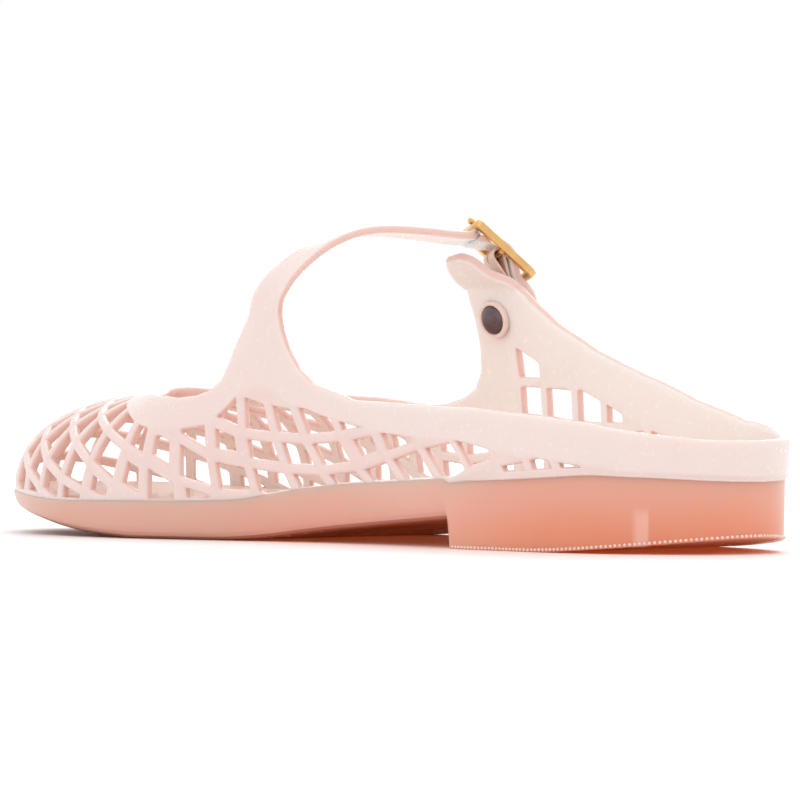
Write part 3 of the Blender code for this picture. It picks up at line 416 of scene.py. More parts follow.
def sortedCuts(left, right):   # the long strands that cross this column, as straight chords, lowest first
    rows = [heelStrand] + longStrands
    cuts = []
    for strandRows in rows:
        heightAt = lambda place: table(strandRows, 1, place)
        cuts.append((chordPoint(left, heightAt), chordPoint(right, heightAt)))
    return sorted(cuts, key=lambda cut: cut[0][1] + cut[1][1])


def above(cut):
    return lambda place, reach: reach - lineHeight(cut[0], cut[1], place)


def below(cut):
    return lambda place, reach: lineHeight(cut[0], cut[1], place) - reach


def endsBetween(corners, distance):   # the corners that lie on a line, in order, each once
    found = []
    for point in sorted(corners):
        if abs(distance(point)) < 1e-7 and not (found and point[0] - found[-1][0] < 1e-6):
            found.append(point)
    return found


def hemStrip(left, right, hemReach, onHem):   # the solid strip of one column along the sole's edge
    corners = [(upright(left, hemReach), hemReach), (upright(left, 0), 0),
               (upright(right, 0), 0), (upright(right, hemReach), hemReach)]
    return [(point, "hem") for point in corners + list(reversed(onHem))]


def rimPoint(row):
    return chordPoint(row, lambda place: table(rimRows, 1, place))


def bandStrip(chordLeft, chordRight, left, right, onBand):   # the smooth band of one column, up to the rim
    topLeft, topRight = rimPoint(left), rimPoint(right)
    between = [row for row in rimRows if topLeft[0] + 0.0009 < row[0] < topRight[0] - 0.0009]
    corners = [topLeft, chordLeft] + onBand + [chordRight, topRight] + list(reversed(between))
    return [(point, "band") for point in corners]


def toRow(point):
    return (point.x, point.y - lastSizes["originShare"] * shoeLength, point.z)


def meshObject(name, verts, faces):
    mesh = bpy.data.meshes.new(name)
    mesh.from_pydata([tuple(v) for v in verts], [], faces)
    mesh.validate()
    made = bpy.data.objects.new(name, mesh)
    bpy.context.scene.collection.objects.link(made)
    return made


def bakeModifiers(made):   # the evaluated shape becomes a plain mesh
    bpy.context.view_layer.update()
    graph = bpy.context.evaluated_depsgraph_get()
    mesh = bpy.data.meshes.new_from_object(made.evaluated_get(graph), depsgraph=graph)
    made.modifiers.clear()
    made.data = mesh
    return made


def subdivided(made, levels):
    surface = made.modifiers.new("round", "SUBSURF")
    surface.levels = surface.render_levels = levels
    return bakeModifiers(made)


def smoothStep(x, low, high):
    t = min(max((x - low) / (high - low), 0.0), 1.0)
    return t * t * (3 - 2 * t)


def shadeBy(made, degrees):   # smooth, with an edge kept sharp past this angle
    made.data.shade_smooth()
    made.data.set_sharp_from_angle(angle=math.radians(degrees))


def ringFaces(count, levels, closed=False):   # quads between equal rings of points, listed ring by ring
    pairs = [(k, k + 1) for k in range(levels - 1)] + ([(levels - 1, 0)] if closed else [])
    return [[k * count + i, k * count + (i + 1) % count, m * count + (i + 1) % count, m * count + i]
            for k, m in pairs for i in range(count)]


def circlePoints(centre, first, second, sides, radius):
    turns = [2 * math.pi * i / sides for i in range(sides)]
    return [centre + (first * math.cos(turn) + second * math.sin(turn)) * radius for turn in turns]


def giveAttribute(made, label, values):   # one number for each point, which the materials read
    made.data.attributes.new(label, "FLOAT", "POINT").data.foreach_set("value", values)


# The cage's sheet: points on the last, and faces seen from outside.
strapPost = {
    "place": -0.4543,
    "spread": 0.036,
    "low": 0.47,              # up the cage, it starts to lean here
    "high": 0.776,
    "lean": (-0.0030, -0.0030, 0.0012),
}
strapRoot = {"low": -0.468, "high": -0.4405, "middle": (-0.454, 0.66)}   # on the rim, round the foot
lobeRoot = {"low": 0.499, "high": 0.541, "middle": (0.52, 0.70), "across": (0.18, 1, -0.08)}
roundScale = 390             # mm round the foot for a whole step of place, about
leastSine = 0.35             # keeps the corner of a sharp cell from moving too far
cagePoints, cageNormals, cageDepths, cagePale, cageFaces = [], [], [], [], []
cornerIds, sideChains = [], {}


def addPoint(point, normal, depth=wall, pale=0.0):   # pale: 1 in the smooth band and strap
    cagePoints.append(point)
    cageNormals.append(normal)
    cageDepths.append(depth)
    cagePale.append(pale)
    return len(cagePoints) - 1


def postLean(place, reach):   # the strap's post stands straighter than the last below it
    near = max(0.0, 1 - ((place - strapPost["place"]) / strapPost["spread"]) ** 2)
    rising = min(max((reach - strapPost["low"]) / (strapPost["high"] - strapPost["low"]), 0), 1)
    return Vector(strapPost["lean"]) * near * rising * rising


def lastPoint(place, reach, rise=0.0, pale=0.0):
    normal = lastNormal(place, reach)
    return addPoint(onLast(place, reach) + postLean(place, reach) + normal * rise, normal, wall, pale)


def cornerAt(place, reach, rise=0.0):   # the corner that is there already, or a new one
    point = onLast(place, reach) + postLean(place, reach)
    for known in cornerIds:
        if (cagePoints[known] - point).length < cageSizes["mergeWithin"] + rise:
            return known
    cornerIds.append(lastPoint(place, reach, rise))
    return cornerIds[-1]


def sideBetween(first, last, firstAt, lastAt, rise):
    key = (min(first, last), max(first, last))
    if key not in sideChains:
        length = (cagePoints[first] - cagePoints[last]).length
        if length < cageSizes["sideBare"]:
            shares = []
        elif length < cageSizes["sideHalved"]:
            shares = [0.5]
        elif length < cageSizes["sideThree"]:
            shares = [0.22, 0.5, 0.78]
        else:
            count = math.ceil(length / cageSizes["sideStep"])
            shares = [i / count for i in range(1, count)]
        start, end = (firstAt, lastAt) if first < last else (lastAt, firstAt)
        ids = [lastPoint(start[0] + (end[0] - start[0]) * t, start[1] + (end[1] - start[1]) * t, rise)
               for t in shares]
        sideChains[key] = (ids, shares)
    ids, shares = sideChains[key]
    if first > last:
        return ids[::-1], [1 - t for t in shares[::-1]]
    return ids, shares


strandLabels = {"left", "right", "long above", "long below"}


def cellRing(cell, mayOpen):   # the cell's corners, and all points round it, side by side
    marks = []
    for i, ((place, reach), label) in enumerate(cell):
        proud = mayOpen and not {label, cell[i - 1][1]} & {"hem", "band", "foot", "top"}
        marks.append(cornerAt(place, reach, cageSizes["crest"] if proud else 0.0))
    corners = [(mark, cell[i][0], cell[i][1]) for i, mark in enumerate(marks) if mark != marks[i - 1]]
    if len(corners) < 3 or len({c[0] for c in corners}) < len(corners):
        return None, None
    sides = []
    for i, (mark, at, label) in enumerate(corners):
        after = corners[(i + 1) % len(corners)]
        rise = cageSizes["crest"] * 0.6 if mayOpen and label in strandLabels else 0.0
        ids, shares = sideBetween(mark, after[0], at, after[1], rise)
        sides.append((mark, at, after[1], ids, shares))
    return corners, sides


def cornerMove(before, here, after, insetBack, insetOn):   # from a cell's corner to its hole's corner
    back, onward = (before - here).normalized(), (after - here).normalized()
    return (back * insetBack + onward * insetOn) / max(back.cross(onward).length, leastSine)


def isOpen(corners):   # a little freer than the solid's test, so that the smallest windows open too
    points = [cagePoints[c[0]] for c in corners]
    count = len(points)
    middle = sum(points, Vector()) / count
    insets = [strand / 2 if c[2] in strandLabels else gap for c in corners]
    hole = []
    for i in range(count):
        hole.append(points[i] + cornerMove(points[i - 1], points[i], points[(i + 1) % count],
                                           insets[i], insets[i - 1]))
    runs = [(hole[(i + 1) % count] - hole[i]).dot((points[(i + 1) % count] - points[i]).normalized())
            for i in range(count)]
    shrunk = min(runs) < smallestHole / 4
    if shrunk:
        hole = [middle + (p - middle) * 0.5 for p in points]
    narrow = min((p - middle).length for p in hole)
    area = sum(((hole[i] - middle).cross(hole[(i + 1) % count] - middle)).length / 2 for i in range(count))
    return narrow >= smallestHole * 0.28 and area >= smallestHole ** 2 * 0.8, shrunk


def slopeAt(place, reach):   # how far a step round the foot and a step up the wall lead
    step = 0.004
    low, high = max(reach - step, 0), reach + step
    return ((onLast(min(place + step, 1), reach) - onLast(max(place - step, -1), reach)) / (2 * step),
            (onLast(place, high) - onLast(place, low)) / (high - low))


def holeCorners(corners, shrunk):   # the hole's corners as (place, reach)
    count = len(corners)
    at = [c[1] for c in corners]
    if shrunk:
        middle = (sum(a[0] for a in at) / count, sum(a[1] for a in at) / count)
        return [(middle[0] + (a[0] - middle[0]) * 0.6, middle[1] + (a[1] - middle[1]) * 0.6) for a in at]
    flat = strand / 2 - cageSizes["edgeRound"]
    insets = [flat if c[2] in strandLabels else gap for c in corners]
    found = []
    for i in range(count):
        move = cornerMove(onLast(*at[i - 1]), onLast(*at[i]), onLast(*at[(i + 1) % count]),
                          insets[i], insets[i - 1])
        around, up = slopeAt(*at[i])
        a, b, c = around.dot(around), around.dot(up), up.dot(up)
        p, q = move.dot(around), move.dot(up)
        det = a * c - b * b
        found.append((at[i][0] + (p * c - q * b) / det, at[i][1] + (q * a - p * b) / det))
    return found


def addLatticeCell(cell):
    corners, sides = cellRing(cell, True)
    if corners is None:
        return
    opens, shrunk = isOpen(corners)
    if not opens:
        cageFaces.append([i for mark, _, _, ids, _ in sides for i in [mark] + ids])
        return
    hole = holeCorners(corners, shrunk)
    outerRing, innerRing = [], []
    for k, (mark, _, _, ids, shares) in enumerate(sides):
        start, end = hole[k], hole[(k + 1) % len(hole)]
        run = (onLast(*end) - onLast(*start)).length
        near = min(0.3, cageSizes["cornerRun"] / max(run, 0.001))
        moved = [near if t == 0.22 else 1 - near if t == 0.78 else t for t in shares]
        for t, mark in zip([0.0] + moved, [mark] + ids):
            outerRing.append(mark)
            innerRing.append(lastPoint(start[0] + (end[0] - start[0]) * t,
                                       start[1] + (end[1] - start[1]) * t))
    for k in range(len(outerRing)):
        j = (k + 1) % len(outerRing)
        cageFaces.append([outerRing[k], outerRing[j], innerRing[j], innerRing[k]])


def addSmoothRegion(cell):   # part of the band, filled with points that follow the last
    corners, sides = cellRing(cell, False)
    if corners is None:
        return
    isHem = max(at[1] for _, at, _ in corners) * wallReach < hem * 1.5
    ids, flat = [], []
    for mark, start, end, between, shares in sides:
        for t, i in zip([0.0] + shares, [mark] + between):
            ids.append(i)
            cagePale[i] = 0.0 if isHem else 1.0
            flat.append(Vector(((start[0] + (end[0] - start[0]) * t) * roundScale,
                                (start[1] + (end[1] - start[1]) * t) * wallReach * 1000)))
    area = sum(flat[i - 1].x * flat[i].y - flat[i].x * flat[i - 1].y for i in range(len(flat))) / 2
    if area < 6 or max(v.y for v in flat) - min(v.y for v in flat) < 2.2:
        cageFaces.append(ids)
        return
    step, inner = cageSizes["fillStep"], []
    lowX, highX = min(v.x for v in flat), max(v.x for v in flat)
    lowY, highY = min(v.y for v in flat), max(v.y for v in flat)
    for row in range(int((highY - lowY) / step) + 1):
        for column in range(int((highX - lowX) / step) + 2):
            spot = Vector((lowX + (column + 0.5 * (row % 2)) * step, lowY + (row + 0.5) * step * 0.9))
            if insideBy(spot, flat) > step * 0.42:
                inner.append(spot)
    count = len(flat)
    result = delaunay_2d_cdt(flat + inner, [(i, (i + 1) % count) for i in range(count)],
                             [list(range(count))], 1, 1e-6)
    made = []
    for spot, origins in zip(result[0], result[3]):
        rim = [o for o in origins if o < count]
        made.append(ids[rim[0]] if rim else
                    lastPoint(spot.x / roundScale, spot.y / (wallReach * 1000), 0.0, 1.0))
    for face in result[2]:
        a, b, c = (result[0][i] for i in face[:3])
        turned = (b - a).cross(c - a) < 0
        face = [made[i] for i in face]
        if len(set(face)) == len(face):
            cageFaces.append(face[::-1] if turned else face)


def insideBy(spot, polygon):   # distance to the polygon's edge, negative outside it
    inside, nearest = False, 1e9
    for i in range(len(polygon)):
        a, b = polygon[i - 1], polygon[i]
        if (a.y > spot.y) != (b.y > spot.y):
            if spot.x < (b.x - a.x) * (spot.y - a.y) / (b.y - a.y) + a.x:
                inside = not inside
        run = b - a
        t = min(max((spot - a).dot(run) / max(run.length_squared, 1e-12), 0), 1)
        nearest = min(nearest, (spot - a - run * t).length)
    return nearest if inside else -nearest


def rimChain(low, high):   # all rim points between two places, from the toe side to the heel side
    found = [(place, reach) for place, reach in rimRows if low <= place <= high]
    found += [rimPoint(row) for row in uprightRows if low < rimPoint(row)[0] < high]
    ordered = []
    for place, reach in sorted(found, key=lambda at: abs(at[0])):
        mark = cornerAt(place, reach)
        if mark not in ordered:
            ordered.append(mark)
    chain = [ordered[0]]
    for before, after in zip(ordered, ordered[1:]):
        key = (min(before, after), max(before, after))
        ids = sideChains.get(key, ([], []))[0]
        chain += (ids if before < after else ids[::-1]) + [after]
    return chain


def splineAt(rows, t):   # smooth curve through rows of numbers, t counted in rows
    i = min(int(t), len(rows) - 2)
    f = t - i
    p0, p1 = rows[max(i - 1, 0)], rows[i]
    p2, p3 = rows[i + 1], rows[min(i + 2, len(rows) - 1)]
    return [0.5 * (2 * b + (c - a) * f + (2 * a - 5 * b + 4 * c - d) * f ** 2
                   + (3 * b - a - 3 * c + d) * f ** 3) for a, b, c, d in zip(p0, p1, p2, p3)]


def addRibbon(chain, below, stations, acrossAt, depth, sign, finer):
    columns = len(chain)
    root = sum((cagePoints[i] for i in chain), Vector()) / columns
    rootWidth = (cagePoints[chain[0]] - cagePoints[chain[-1]]).length
    rootAcross = (cagePoints[chain[0]] - cagePoints[chain[-1]]).normalized()
    rows = [[*below, rootWidth], [*root, rootWidth]] + [[*middle, width] for middle, width in stations]
    steps = (len(rows) - 2) * finer
    path = [splineAt(rows, 1 + k / finer) for k in range(steps + 1)]
    lengths = [0.0]
    for a, b in zip(chain, chain[1:]):
        lengths.append(lengths[-1] + (cagePoints[a] - cagePoints[b]).length)
    before = list(chain)
    for k in range(1, steps + 1):
        middle, width = Vector(path[k][:3]), path[k][3]
        onward = Vector(path[min(k + 1, steps)][:3]) - Vector(path[k - 1][:3])
        across = rootAcross.lerp(acrossAt(k / finer), min(k / finer, 1.0))
        square = min(k / (4 * finer), 1.0)   # the first rows stay level, so that the root doesn't twist
        across = (across - onward * across.dot(onward) / onward.length_squared * square).normalized()
        normal = onward.cross(across).normalized() * sign
        even = min(k / (2 * finer), 1.0)
        marks = []
        for j in range(columns):
            share = (lengths[j] / lengths[-1]) * (1 - even) + j / (columns - 1) * even
            marks.append(addPoint(middle + across * (0.5 - share) * width, normal, depth, 1.0))
        for j in range(columns - 1):
            strip = [before[j + 1], before[j], marks[j], marks[j + 1]]
            cageFaces.append(strip if sign > 0 else strip[::-1])
        before = marks


def scaled(row):
    return Vector((row[0] * ballWidth, row[1] * shoeLength, row[2] * instepHeight))


buckleSizes = {
    "length": 0.0187,         # along the strap
    "width": 0.0150,
    "bar": 0.0021,
    "depth": 0.0018,
    "axleRadius": 0.0006,
    "axleDrop": 0.0014,       # the axle lies this far inside the frame's middle
    "prongRadius": 0.0005,
    "edgeRound": 0.00042,
}
along = Vector(buckleAlong).normalized()
across = Vector(buckleAcross)
across = (across - along * across.dot(along)).normalized()
outward = along.cross(across).normalized()
buckleAt = scaled(buckleMiddle)


def fromBuckle(down, side, out):
    return buckleAt + along * down + across * side + outward * out


def strapAcross(k):
    return Vector((0.05, 1, 0)).lerp(Vector(buckleAcross), min(k / len(strapRows), 1.0) ** 1.5)


def facedNormals():   # the sheet's own normals, for the strap, its post and the lobe
    found = [Vector() for _ in cagePoints]
    for face in cageFaces:
        turn = Vector()
        for i in range(len(face)):
            turn += cagePoints[face[i - 1]].cross(cagePoints[face[i]])
        for i in face:
            found[i] += turn
    for i, (point, turn) in enumerate(zip(cagePoints, found)):
        share = smoothStep(point.z, cageSizes["ownLow"], cageSizes["ownHigh"])
        if share and turn.length:
            cageNormals[i] = cageNormals[i].lerp(turn.normalized(), share).normalized()


def closedSheet(name, edge):   # both faces of the sheet and the rounded edge between them
    facedNormals()
    count = len(cagePoints)
    verts, wallShades = list(cagePoints), [0.0] * count
    pales = [pale * cageSizes["outerPale"] for pale in cagePale]
    pales += [cageSizes["innerPale"] + (1 - cageSizes["innerPale"]) * pale for pale in cagePale]
    for point, normal, depth in zip(cagePoints, cageNormals, cageDepths):
        verts.append(point - normal * depth)
        wallShades.append(0.0)
    faces = [list(face) for face in cageFaces]
    faces += [[i + count for i in reversed(face)] for face in cageFaces]
    used = set()
    for face in cageFaces:
        used |= {(face[i - 1], face[i]) for i in range(len(face))}
    border = [(a, b) for a, b in used if (b, a) not in used]
    away = {}
    for a, b in border:
        run = (cagePoints[b] - cagePoints[a]).normalized()
        for end in (a, b):
            away.setdefault(end, []).append(run.cross(cageNormals[end]).normalized())
    ring = {}
    for mark, ways in away.items():
        way = sum(ways, Vector())
        way = way / max(way.length * min(ways[0].dot(way.normalized()) + 0.15, 1.0), 0.3)
        normal, depth = cageNormals[mark], cageDepths[mark]
        ring[mark] = len(verts)
        verts.append(cagePoints[mark] + way * edge - normal * edge)
        verts.append(cagePoints[mark] + way * edge - normal * (depth - edge))
        pales += [cagePale[mark]] * 2
        # the rounded edge ring takes the darker wall colour: painted shade on hole walls and rims
        wallShades += [0.85, 1.0]
    for a, b in border:
        ra, rb = ring[a], ring[b]
        faces += [[b, a, ra, rb], [rb, ra, ra + 1, rb + 1], [rb + 1, ra + 1, a + count, b + count]]
    made = meshObject(name, [toRow(v) for v in verts], faces)
    giveAttribute(made, "paintedWallShade", wallShades)
    giveAttribute(made, "paleBand", pales)
    return made


print("cage: cutting the lattice")
for cell, mayOpen in cellPolygons():
    if len(cell) >= 3 and mayOpen:
        addLatticeCell(cell)
    elif len(cell) >= 3:
        addSmoothRegion(cell)
stations = [(scaled(row), row[3] * cageSizes["strapWidth"]) for row in strapRows]
stations += [(fromBuckle(*(share * buckleSizes["length"] for share in row[:3])),
              row[3] * cageSizes["strapWidth"]) for row in strapEndRows]
addRibbon(rimChain(strapRoot["low"], strapRoot["high"]),
          onLast(*strapRoot["middle"]) + postLean(*strapRoot["middle"]), stations,
          strapAcross, cageSizes["strapThickness"], 1, 3)
stations = [(scaled(row), row[3] * cageSizes["lobeWidth"]) for row in lobeRows]
addRibbon(rimChain(lobeRoot["low"], lobeRoot["high"]), onLast(*lobeRoot["middle"]), stations,
          lambda k: Vector(lobeRoot["across"]), wall, -1, 3)
cageFaces = [face[::-1] for face in cageFaces]   # the cells were listed clockwise
cagePiece = subdivided(closedSheet("cageUpper", cageSizes["edgeRound"]), 1)
print("cage:", len(cagePiece.data.polygons), "faces")


# The sole and its heel block
soleSizes = {
    "steps": 84,              # along each side
    "forefootTuck": 0.0034,   # how far the lower edge lies inside the outline
    "heelTuck": 0.0013,
    "capSlope": 0.0012,
    "ledge": 0.0009,          # the heel's wall stands back this far under the band
    "breast": 0.2895,         # share of the length where the heel block ends
    "archStart": 0.299,       # and where the arch begins, past its front face
    "heelCap": 0.66,          # shares of the tuck below this lie on the block's top
    "rearLift": 0.0036,       # the heel's underside rises this much at the back
    "rearLength": 0.046,
    "ribPitch": 0.0048,       # tread under the forefoot
    "ribWidth": 0.0016,
    "ribHeight": 0.0005,
    "ribBow": 0.0022,         # how far a rib waves
    "ribMargin": 0.002,
    "notchPitch": 0.0011,     # fine milling along the heel's lower edge
    "notchRadius": 0.00042,
    "notchHeight": 0.00036,
}
# The wall from the underside to the top: share of the tuck, and share of the way up.
forefootProfile = [(1.0, 0.0), (0.80, 0.03), (0.56, 0.10), (0.33, 0.22), (0.15, 0.42), (0.04, 0.70),
                   (-0.05, 0.95), (-0.07, 1.10), (0.0, 1.16), (0.4, 1.17), (0.72, 0.98)]
heelProfile = [(1.0, 0.0), (0.94, 0.012), (0.90, 0.05), (0.84, 0.28), (0.78, 0.60), (0.72, 0.93),
               (0.70, 0.985), (0.66, 1.0), (0.3, 1.0), (0.2, 1.0), (0.1, 0.998)]
archSpline = naturalSpline(*(np.array([row[i] for row in soleRows[7:]]) for i in (0, 2)))


def soleLow(y):
    share = y / shoeLength
    if share <= soleSizes["breast"]:
        return soleSizes["rearLift"] * max(1 - y / soleSizes["rearLength"], 0.0) ** 1.5
    return heelHeight * max(float(archSpline(max(share, soleSizes["archStart"]))), 0.0)


def soleStations():
    exact = [turnOf(share) for share in (0.2893, 0.2965, 0.303)]   # close by the heel's front face
    even = [i / soleSizes["steps"] for i in range(1, soleSizes["steps"])]
    return sorted([t for t in even if min(abs(t - e) for e in exact) > 0.003] + exact)


solePlaces = ([-1] + [turn - 1 for turn in soleStations()] + [0]
              + [1 - turn for turn in reversed(soleStations())])


def soleLoop(insetAt, heightAt):
    loop = []
    for place in solePlaces:
        edge = outline(place)
        point = insetOutline(place, insetAt(edge.y))
        loop.append(Vector((point.x, point.y, heightAt(edge.y))))
    return loop


def stackLoops(loops):   # walls between the loops, and strips straight across both ends
    count, faces = len(loops[0]), []
    for level, flip in ((0, True), (len(loops) - 1, False)):
        start, half = level * count, count // 2
        strips = [[start, start + 1, start + count - 1]]
        strips += [[start + i, start + i + 1, start + count - i - 1, start + count - i]
                   for i in range(1, half - 1)]
        strips.append([start + half - 1, start + half, start + half + 1])
        faces += [f[::-1] if flip else f for f in strips]
    return [toRow(v) for loop in loops for v in loop], faces + ringFaces(count, len(loops))


def outwardFaces(made):
    bm = bmesh.new()
    bm.from_mesh(made.data)
    bmesh.ops.recalc_face_normals(bm, faces=bm.faces)
    bm.to_mesh(made.data)
    bm.free()
    return made


def soleInset(y, front, heel):
    isHeel = 1 - smoothStep(y / shoeLength, soleSizes["breast"] - 0.001, soleSizes["breast"] + 0.012)
    ledge = soleSizes["ledge"] * (1 - smoothStep(y / shoeLength, 0.20, 0.285))
    if heel > soleSizes["heelCap"]:
        heelInset = ledge + soleSizes["heelTuck"] * (heel - soleSizes["heelCap"])
    else:
        heelInset = ledge * 0.5 + soleSizes["capSlope"] * (soleSizes["heelCap"] - heel)
    return soleSizes["forefootTuck"] * front * (1 - isHeel) + heelInset * isHeel


soleLoops = []
for (front, frontRise), (heel, heelRise) in zip(forefootProfile, heelProfile):
    def riseAt(y, frontRise=frontRise, heelRise=heelRise):
        rise = heelRise if y / shoeLength <= soleSizes["breast"] + 0.001 else frontRise
        return soleLow(y) + (soleTop(y) + gap - soleLow(y)) * rise
    soleLoops.append(soleLoop(lambda y, front=front, heel=heel: soleInset(y, front, heel), riseAt))
verts, faces = stackLoops(soleLoops)
solePiece = outwardFaces(meshObject("soleBlock", verts, faces))
shadeBy(solePiece, 38)
print("sole:", len(faces), "faces")


# The footbed: a dished sheet with a rounded edge
footbedSizes = {
    "inset": 0.0031,
    "thickness": 0.0018,
    "underside": 0.00042,     # above the sole
    "dotPitch": 0.0052,
    "dotMargin": 0.0075,      # free of dots along the sides, the heel and the toe
    "dotStart": 0.008,
    "dotEnd": 0.012,
    "dotRadius": 0.0011,
    "dotHeight": 0.00028,
}
# From the underside's edge inwards: how far in, and the share of the thickness.
bedProfile = [(0.0, 0.0), (0.0, 0.55), (0.0004, 0.88), (0.0012, 1.0), (0.004, 0.96), (0.009, 0.75),
              (0.011, 0.5), (0.011, 0.42)]
bedEdge = 4                               # the loop that the dish starts from
dishShares = {5: 0.72, 6: 0.42, 7: 0.14}  # the loops inside it, as shares of the half width
# The dish across: share of the half width, share of the thickness.
dishRows = [(0, 0.42), (0.14, 0.42), (0.42, 0.5), (0.72, 0.75), (0.9, 0.96), (1, 1)]


def bedHeight(y, share):
    return soleTop(y) + footbedSizes["underside"] + footbedSizes["thickness"] * share


def makeFootbed():
    loops = [soleLoop(lambda y: footbedSizes["inset"] + inset, lambda y: bedHeight(y, rise))
             for inset, rise in bedProfile]
    for level, share in dishShares.items():
        for i, (point, edge) in enumerate(zip(loops[level], loops[bedEdge])):
            middle = (loops[0][i] + loops[0][-i]) / 2
            point.x = middle.x + (edge.x - middle.x) * share
            point.y = edge.y
    return outwardFaces(meshObject("footbedSheet", *stackLoops(loops)))


bedPiece = makeFootbed()
shadeBy(bedPiece, 50)
print("footbed:", len(bedPiece.data.polygons), "faces")


# Small forms that repeat, each set out by a node tree
def newTree(name, inputs):
    tree = bpy.data.node_groups.new(name, "GeometryNodeTree")
    tree.interface.new_socket("Geometry", in_out="INPUT", socket_type="NodeSocketGeometry")
    for label, kind, value in inputs:
        socket = tree.interface.new_socket(label, in_out="INPUT", socket_type=kind)
        socket.default_value = value
    tree.interface.new_socket("Geometry", in_out="OUTPUT", socket_type="NodeSocketGeometry")
    return tree, tree.nodes.new("NodeGroupInput"), tree.nodes.new("NodeGroupOutput")


def runTree(name, source, tree, values, material):
    made = bpy.data.objects.new(name, source.data.copy())
    bpy.context.scene.collection.objects.link(made)
    nodes = made.modifiers.new("set out", "NODES")
    nodes.node_group = tree
    for item in tree.interface.items_tree:
        if item.in_out == "INPUT" and item.name in values:
            nodes[item.identifier] = values[item.name]
        if item.in_out == "INPUT" and item.name == "Finish":
            nodes[item.identifier] = material
    return bakeModifiers(made)


def studTree():   # a low dome on every point of a guide mesh, all facing one way
    tree, given, result = newTree("moulded studs", [
        ("Stud Radius", "NodeSocketFloat", 0.001), ("Stud Height", "NodeSocketFloat", 0.0003),
        ("Size Spread", "NodeSocketFloat", 0.08), ("Seed", "NodeSocketInt", 4),
        ("Facing", "NodeSocketVector", (0.0, 0.0, 1.0))])
    tree.interface.new_socket("Finish", in_out="INPUT", socket_type="NodeSocketMaterial")
    link, add = tree.links.new, tree.nodes.new
    dome = add("GeometryNodeMeshUVSphere")
    dome.inputs["Segments"].default_value = 10
    dome.inputs["Rings"].default_value = 6
    dome.inputs["Radius"].default_value = 1.0
    instance = add("GeometryNodeInstanceOnPoints")
    turn = add("FunctionNodeAlignRotationToVector")
    turn.axis = "Z"
    size = add("ShaderNodeCombineXYZ")
    spread = add("FunctionNodeRandomValue")
    spread.data_type = "FLOAT"
    low = add("ShaderNodeMath")
    low.operation = "SUBTRACT"
    low.inputs[0].default_value = 1.0
    radius = add("ShaderNodeMath")
    radius.operation = "MULTIPLY"
    real, shade = add("GeometryNodeRealizeInstances"), add("GeometryNodeSetShadeSmooth")
    finish = add("GeometryNodeSetMaterial")
    link(given.outputs["Geometry"], instance.inputs["Points"])
    link(dome.outputs["Mesh"], instance.inputs["Instance"])
    link(given.outputs["Facing"], turn.inputs["Vector"])
    link(turn.outputs["Rotation"], instance.inputs["Rotation"])
    link(given.outputs["Size Spread"], low.inputs[1])
    link(low.outputs[0], spread.inputs[2])
    spread.inputs[3].default_value = 1.0
    link(given.outputs["Seed"], spread.inputs["Seed"])
    link(given.outputs["Stud Radius"], radius.inputs[0])
    link(spread.outputs[1], radius.inputs[1])
    link(radius.outputs[0], size.inputs["X"])
    link(radius.outputs[0], size.inputs["Y"])
    link(given.outputs["Stud Height"], size.inputs["Z"])
    link(size.outputs["Vector"], instance.inputs["Scale"])
    link(instance.outputs["Instances"], real.inputs["Geometry"])
    link(real.outputs["Geometry"], shade.inputs["Geometry"])
    link(shade.outputs[0], finish.inputs["Geometry"])
    link(given.outputs["Finish"], finish.inputs["Material"])
    link(finish.outputs["Geometry"], result.inputs["Geometry"])
    return tree


def ribTree():   # a slim rounded rib along every edge of a guide mesh
    tree, given, result = newTree("moulded ribs", [
        ("Rib Width", "NodeSocketFloat", 0.0016), ("Rib Height", "NodeSocketFloat", 0.0005)])
    tree.interface.new_socket("Finish", in_out="INPUT", socket_type="NodeSocketMaterial")
    link, add = tree.links.new, tree.nodes.new
    curve, profile = add("GeometryNodeMeshToCurve"), add("GeometryNodeCurvePrimitiveCircle")
    sweep = add("GeometryNodeCurveToMesh")
    profile.inputs["Resolution"].default_value = 8
    profile.inputs["Radius"].default_value = 1.0
    flat, size, half = add("GeometryNodeTransform"), add("ShaderNodeCombineXYZ"), add("ShaderNodeMath")
    half.operation = "MULTIPLY"
    half.inputs[1].default_value = 0.5
    level = add("GeometryNodeSetCurveNormal")
    level.mode = "Z_UP"
    shade, finish = add("GeometryNodeSetShadeSmooth"), add("GeometryNodeSetMaterial")
    real = add("GeometryNodeRealizeInstances")
    link(given.outputs["Geometry"], curve.inputs["Mesh"])
    link(curve.outputs["Curve"], level.inputs["Curve"])
    link(given.outputs["Rib Width"], half.inputs[0])
    link(half.outputs[0], size.inputs["X"])
    link(given.outputs["Rib Height"], size.inputs["Y"])
    size.inputs["Z"].default_value = 1.0
    link(profile.outputs["Curve"], flat.inputs["Geometry"])
    link(size.outputs["Vector"], flat.inputs["Scale"])
    link(level.outputs["Curve"], sweep.inputs["Curve"])
    link(flat.outputs["Geometry"], sweep.inputs["Profile Curve"])
    sweep.inputs["Fill Caps"].default_value = True
    link(sweep.outputs["Mesh"], real.inputs["Geometry"])
    link(real.outputs["Geometry"], shade.inputs["Geometry"])
    link(shade.outputs[0], finish.inputs["Geometry"])
    link(given.outputs["Finish"], finish.inputs["Material"])
    link(finish.outputs["Geometry"], result.inputs["Geometry"])
    return tree


def widthAt(y):   # inner and outer edge of the outline at one distance from the heel
    turn = turnOf(min(max(y / shoeLength, 0.0), 1.0))
    return ballWidth * innerEdge(turn), ballWidth * outerEdge(turn)


def guideMesh(name, verts, edges):
    mesh = bpy.data.meshes.new(name)
    mesh.from_pydata([toRow(v) for v in verts], edges, [])
    return bpy.data.objects.new(name, mesh)


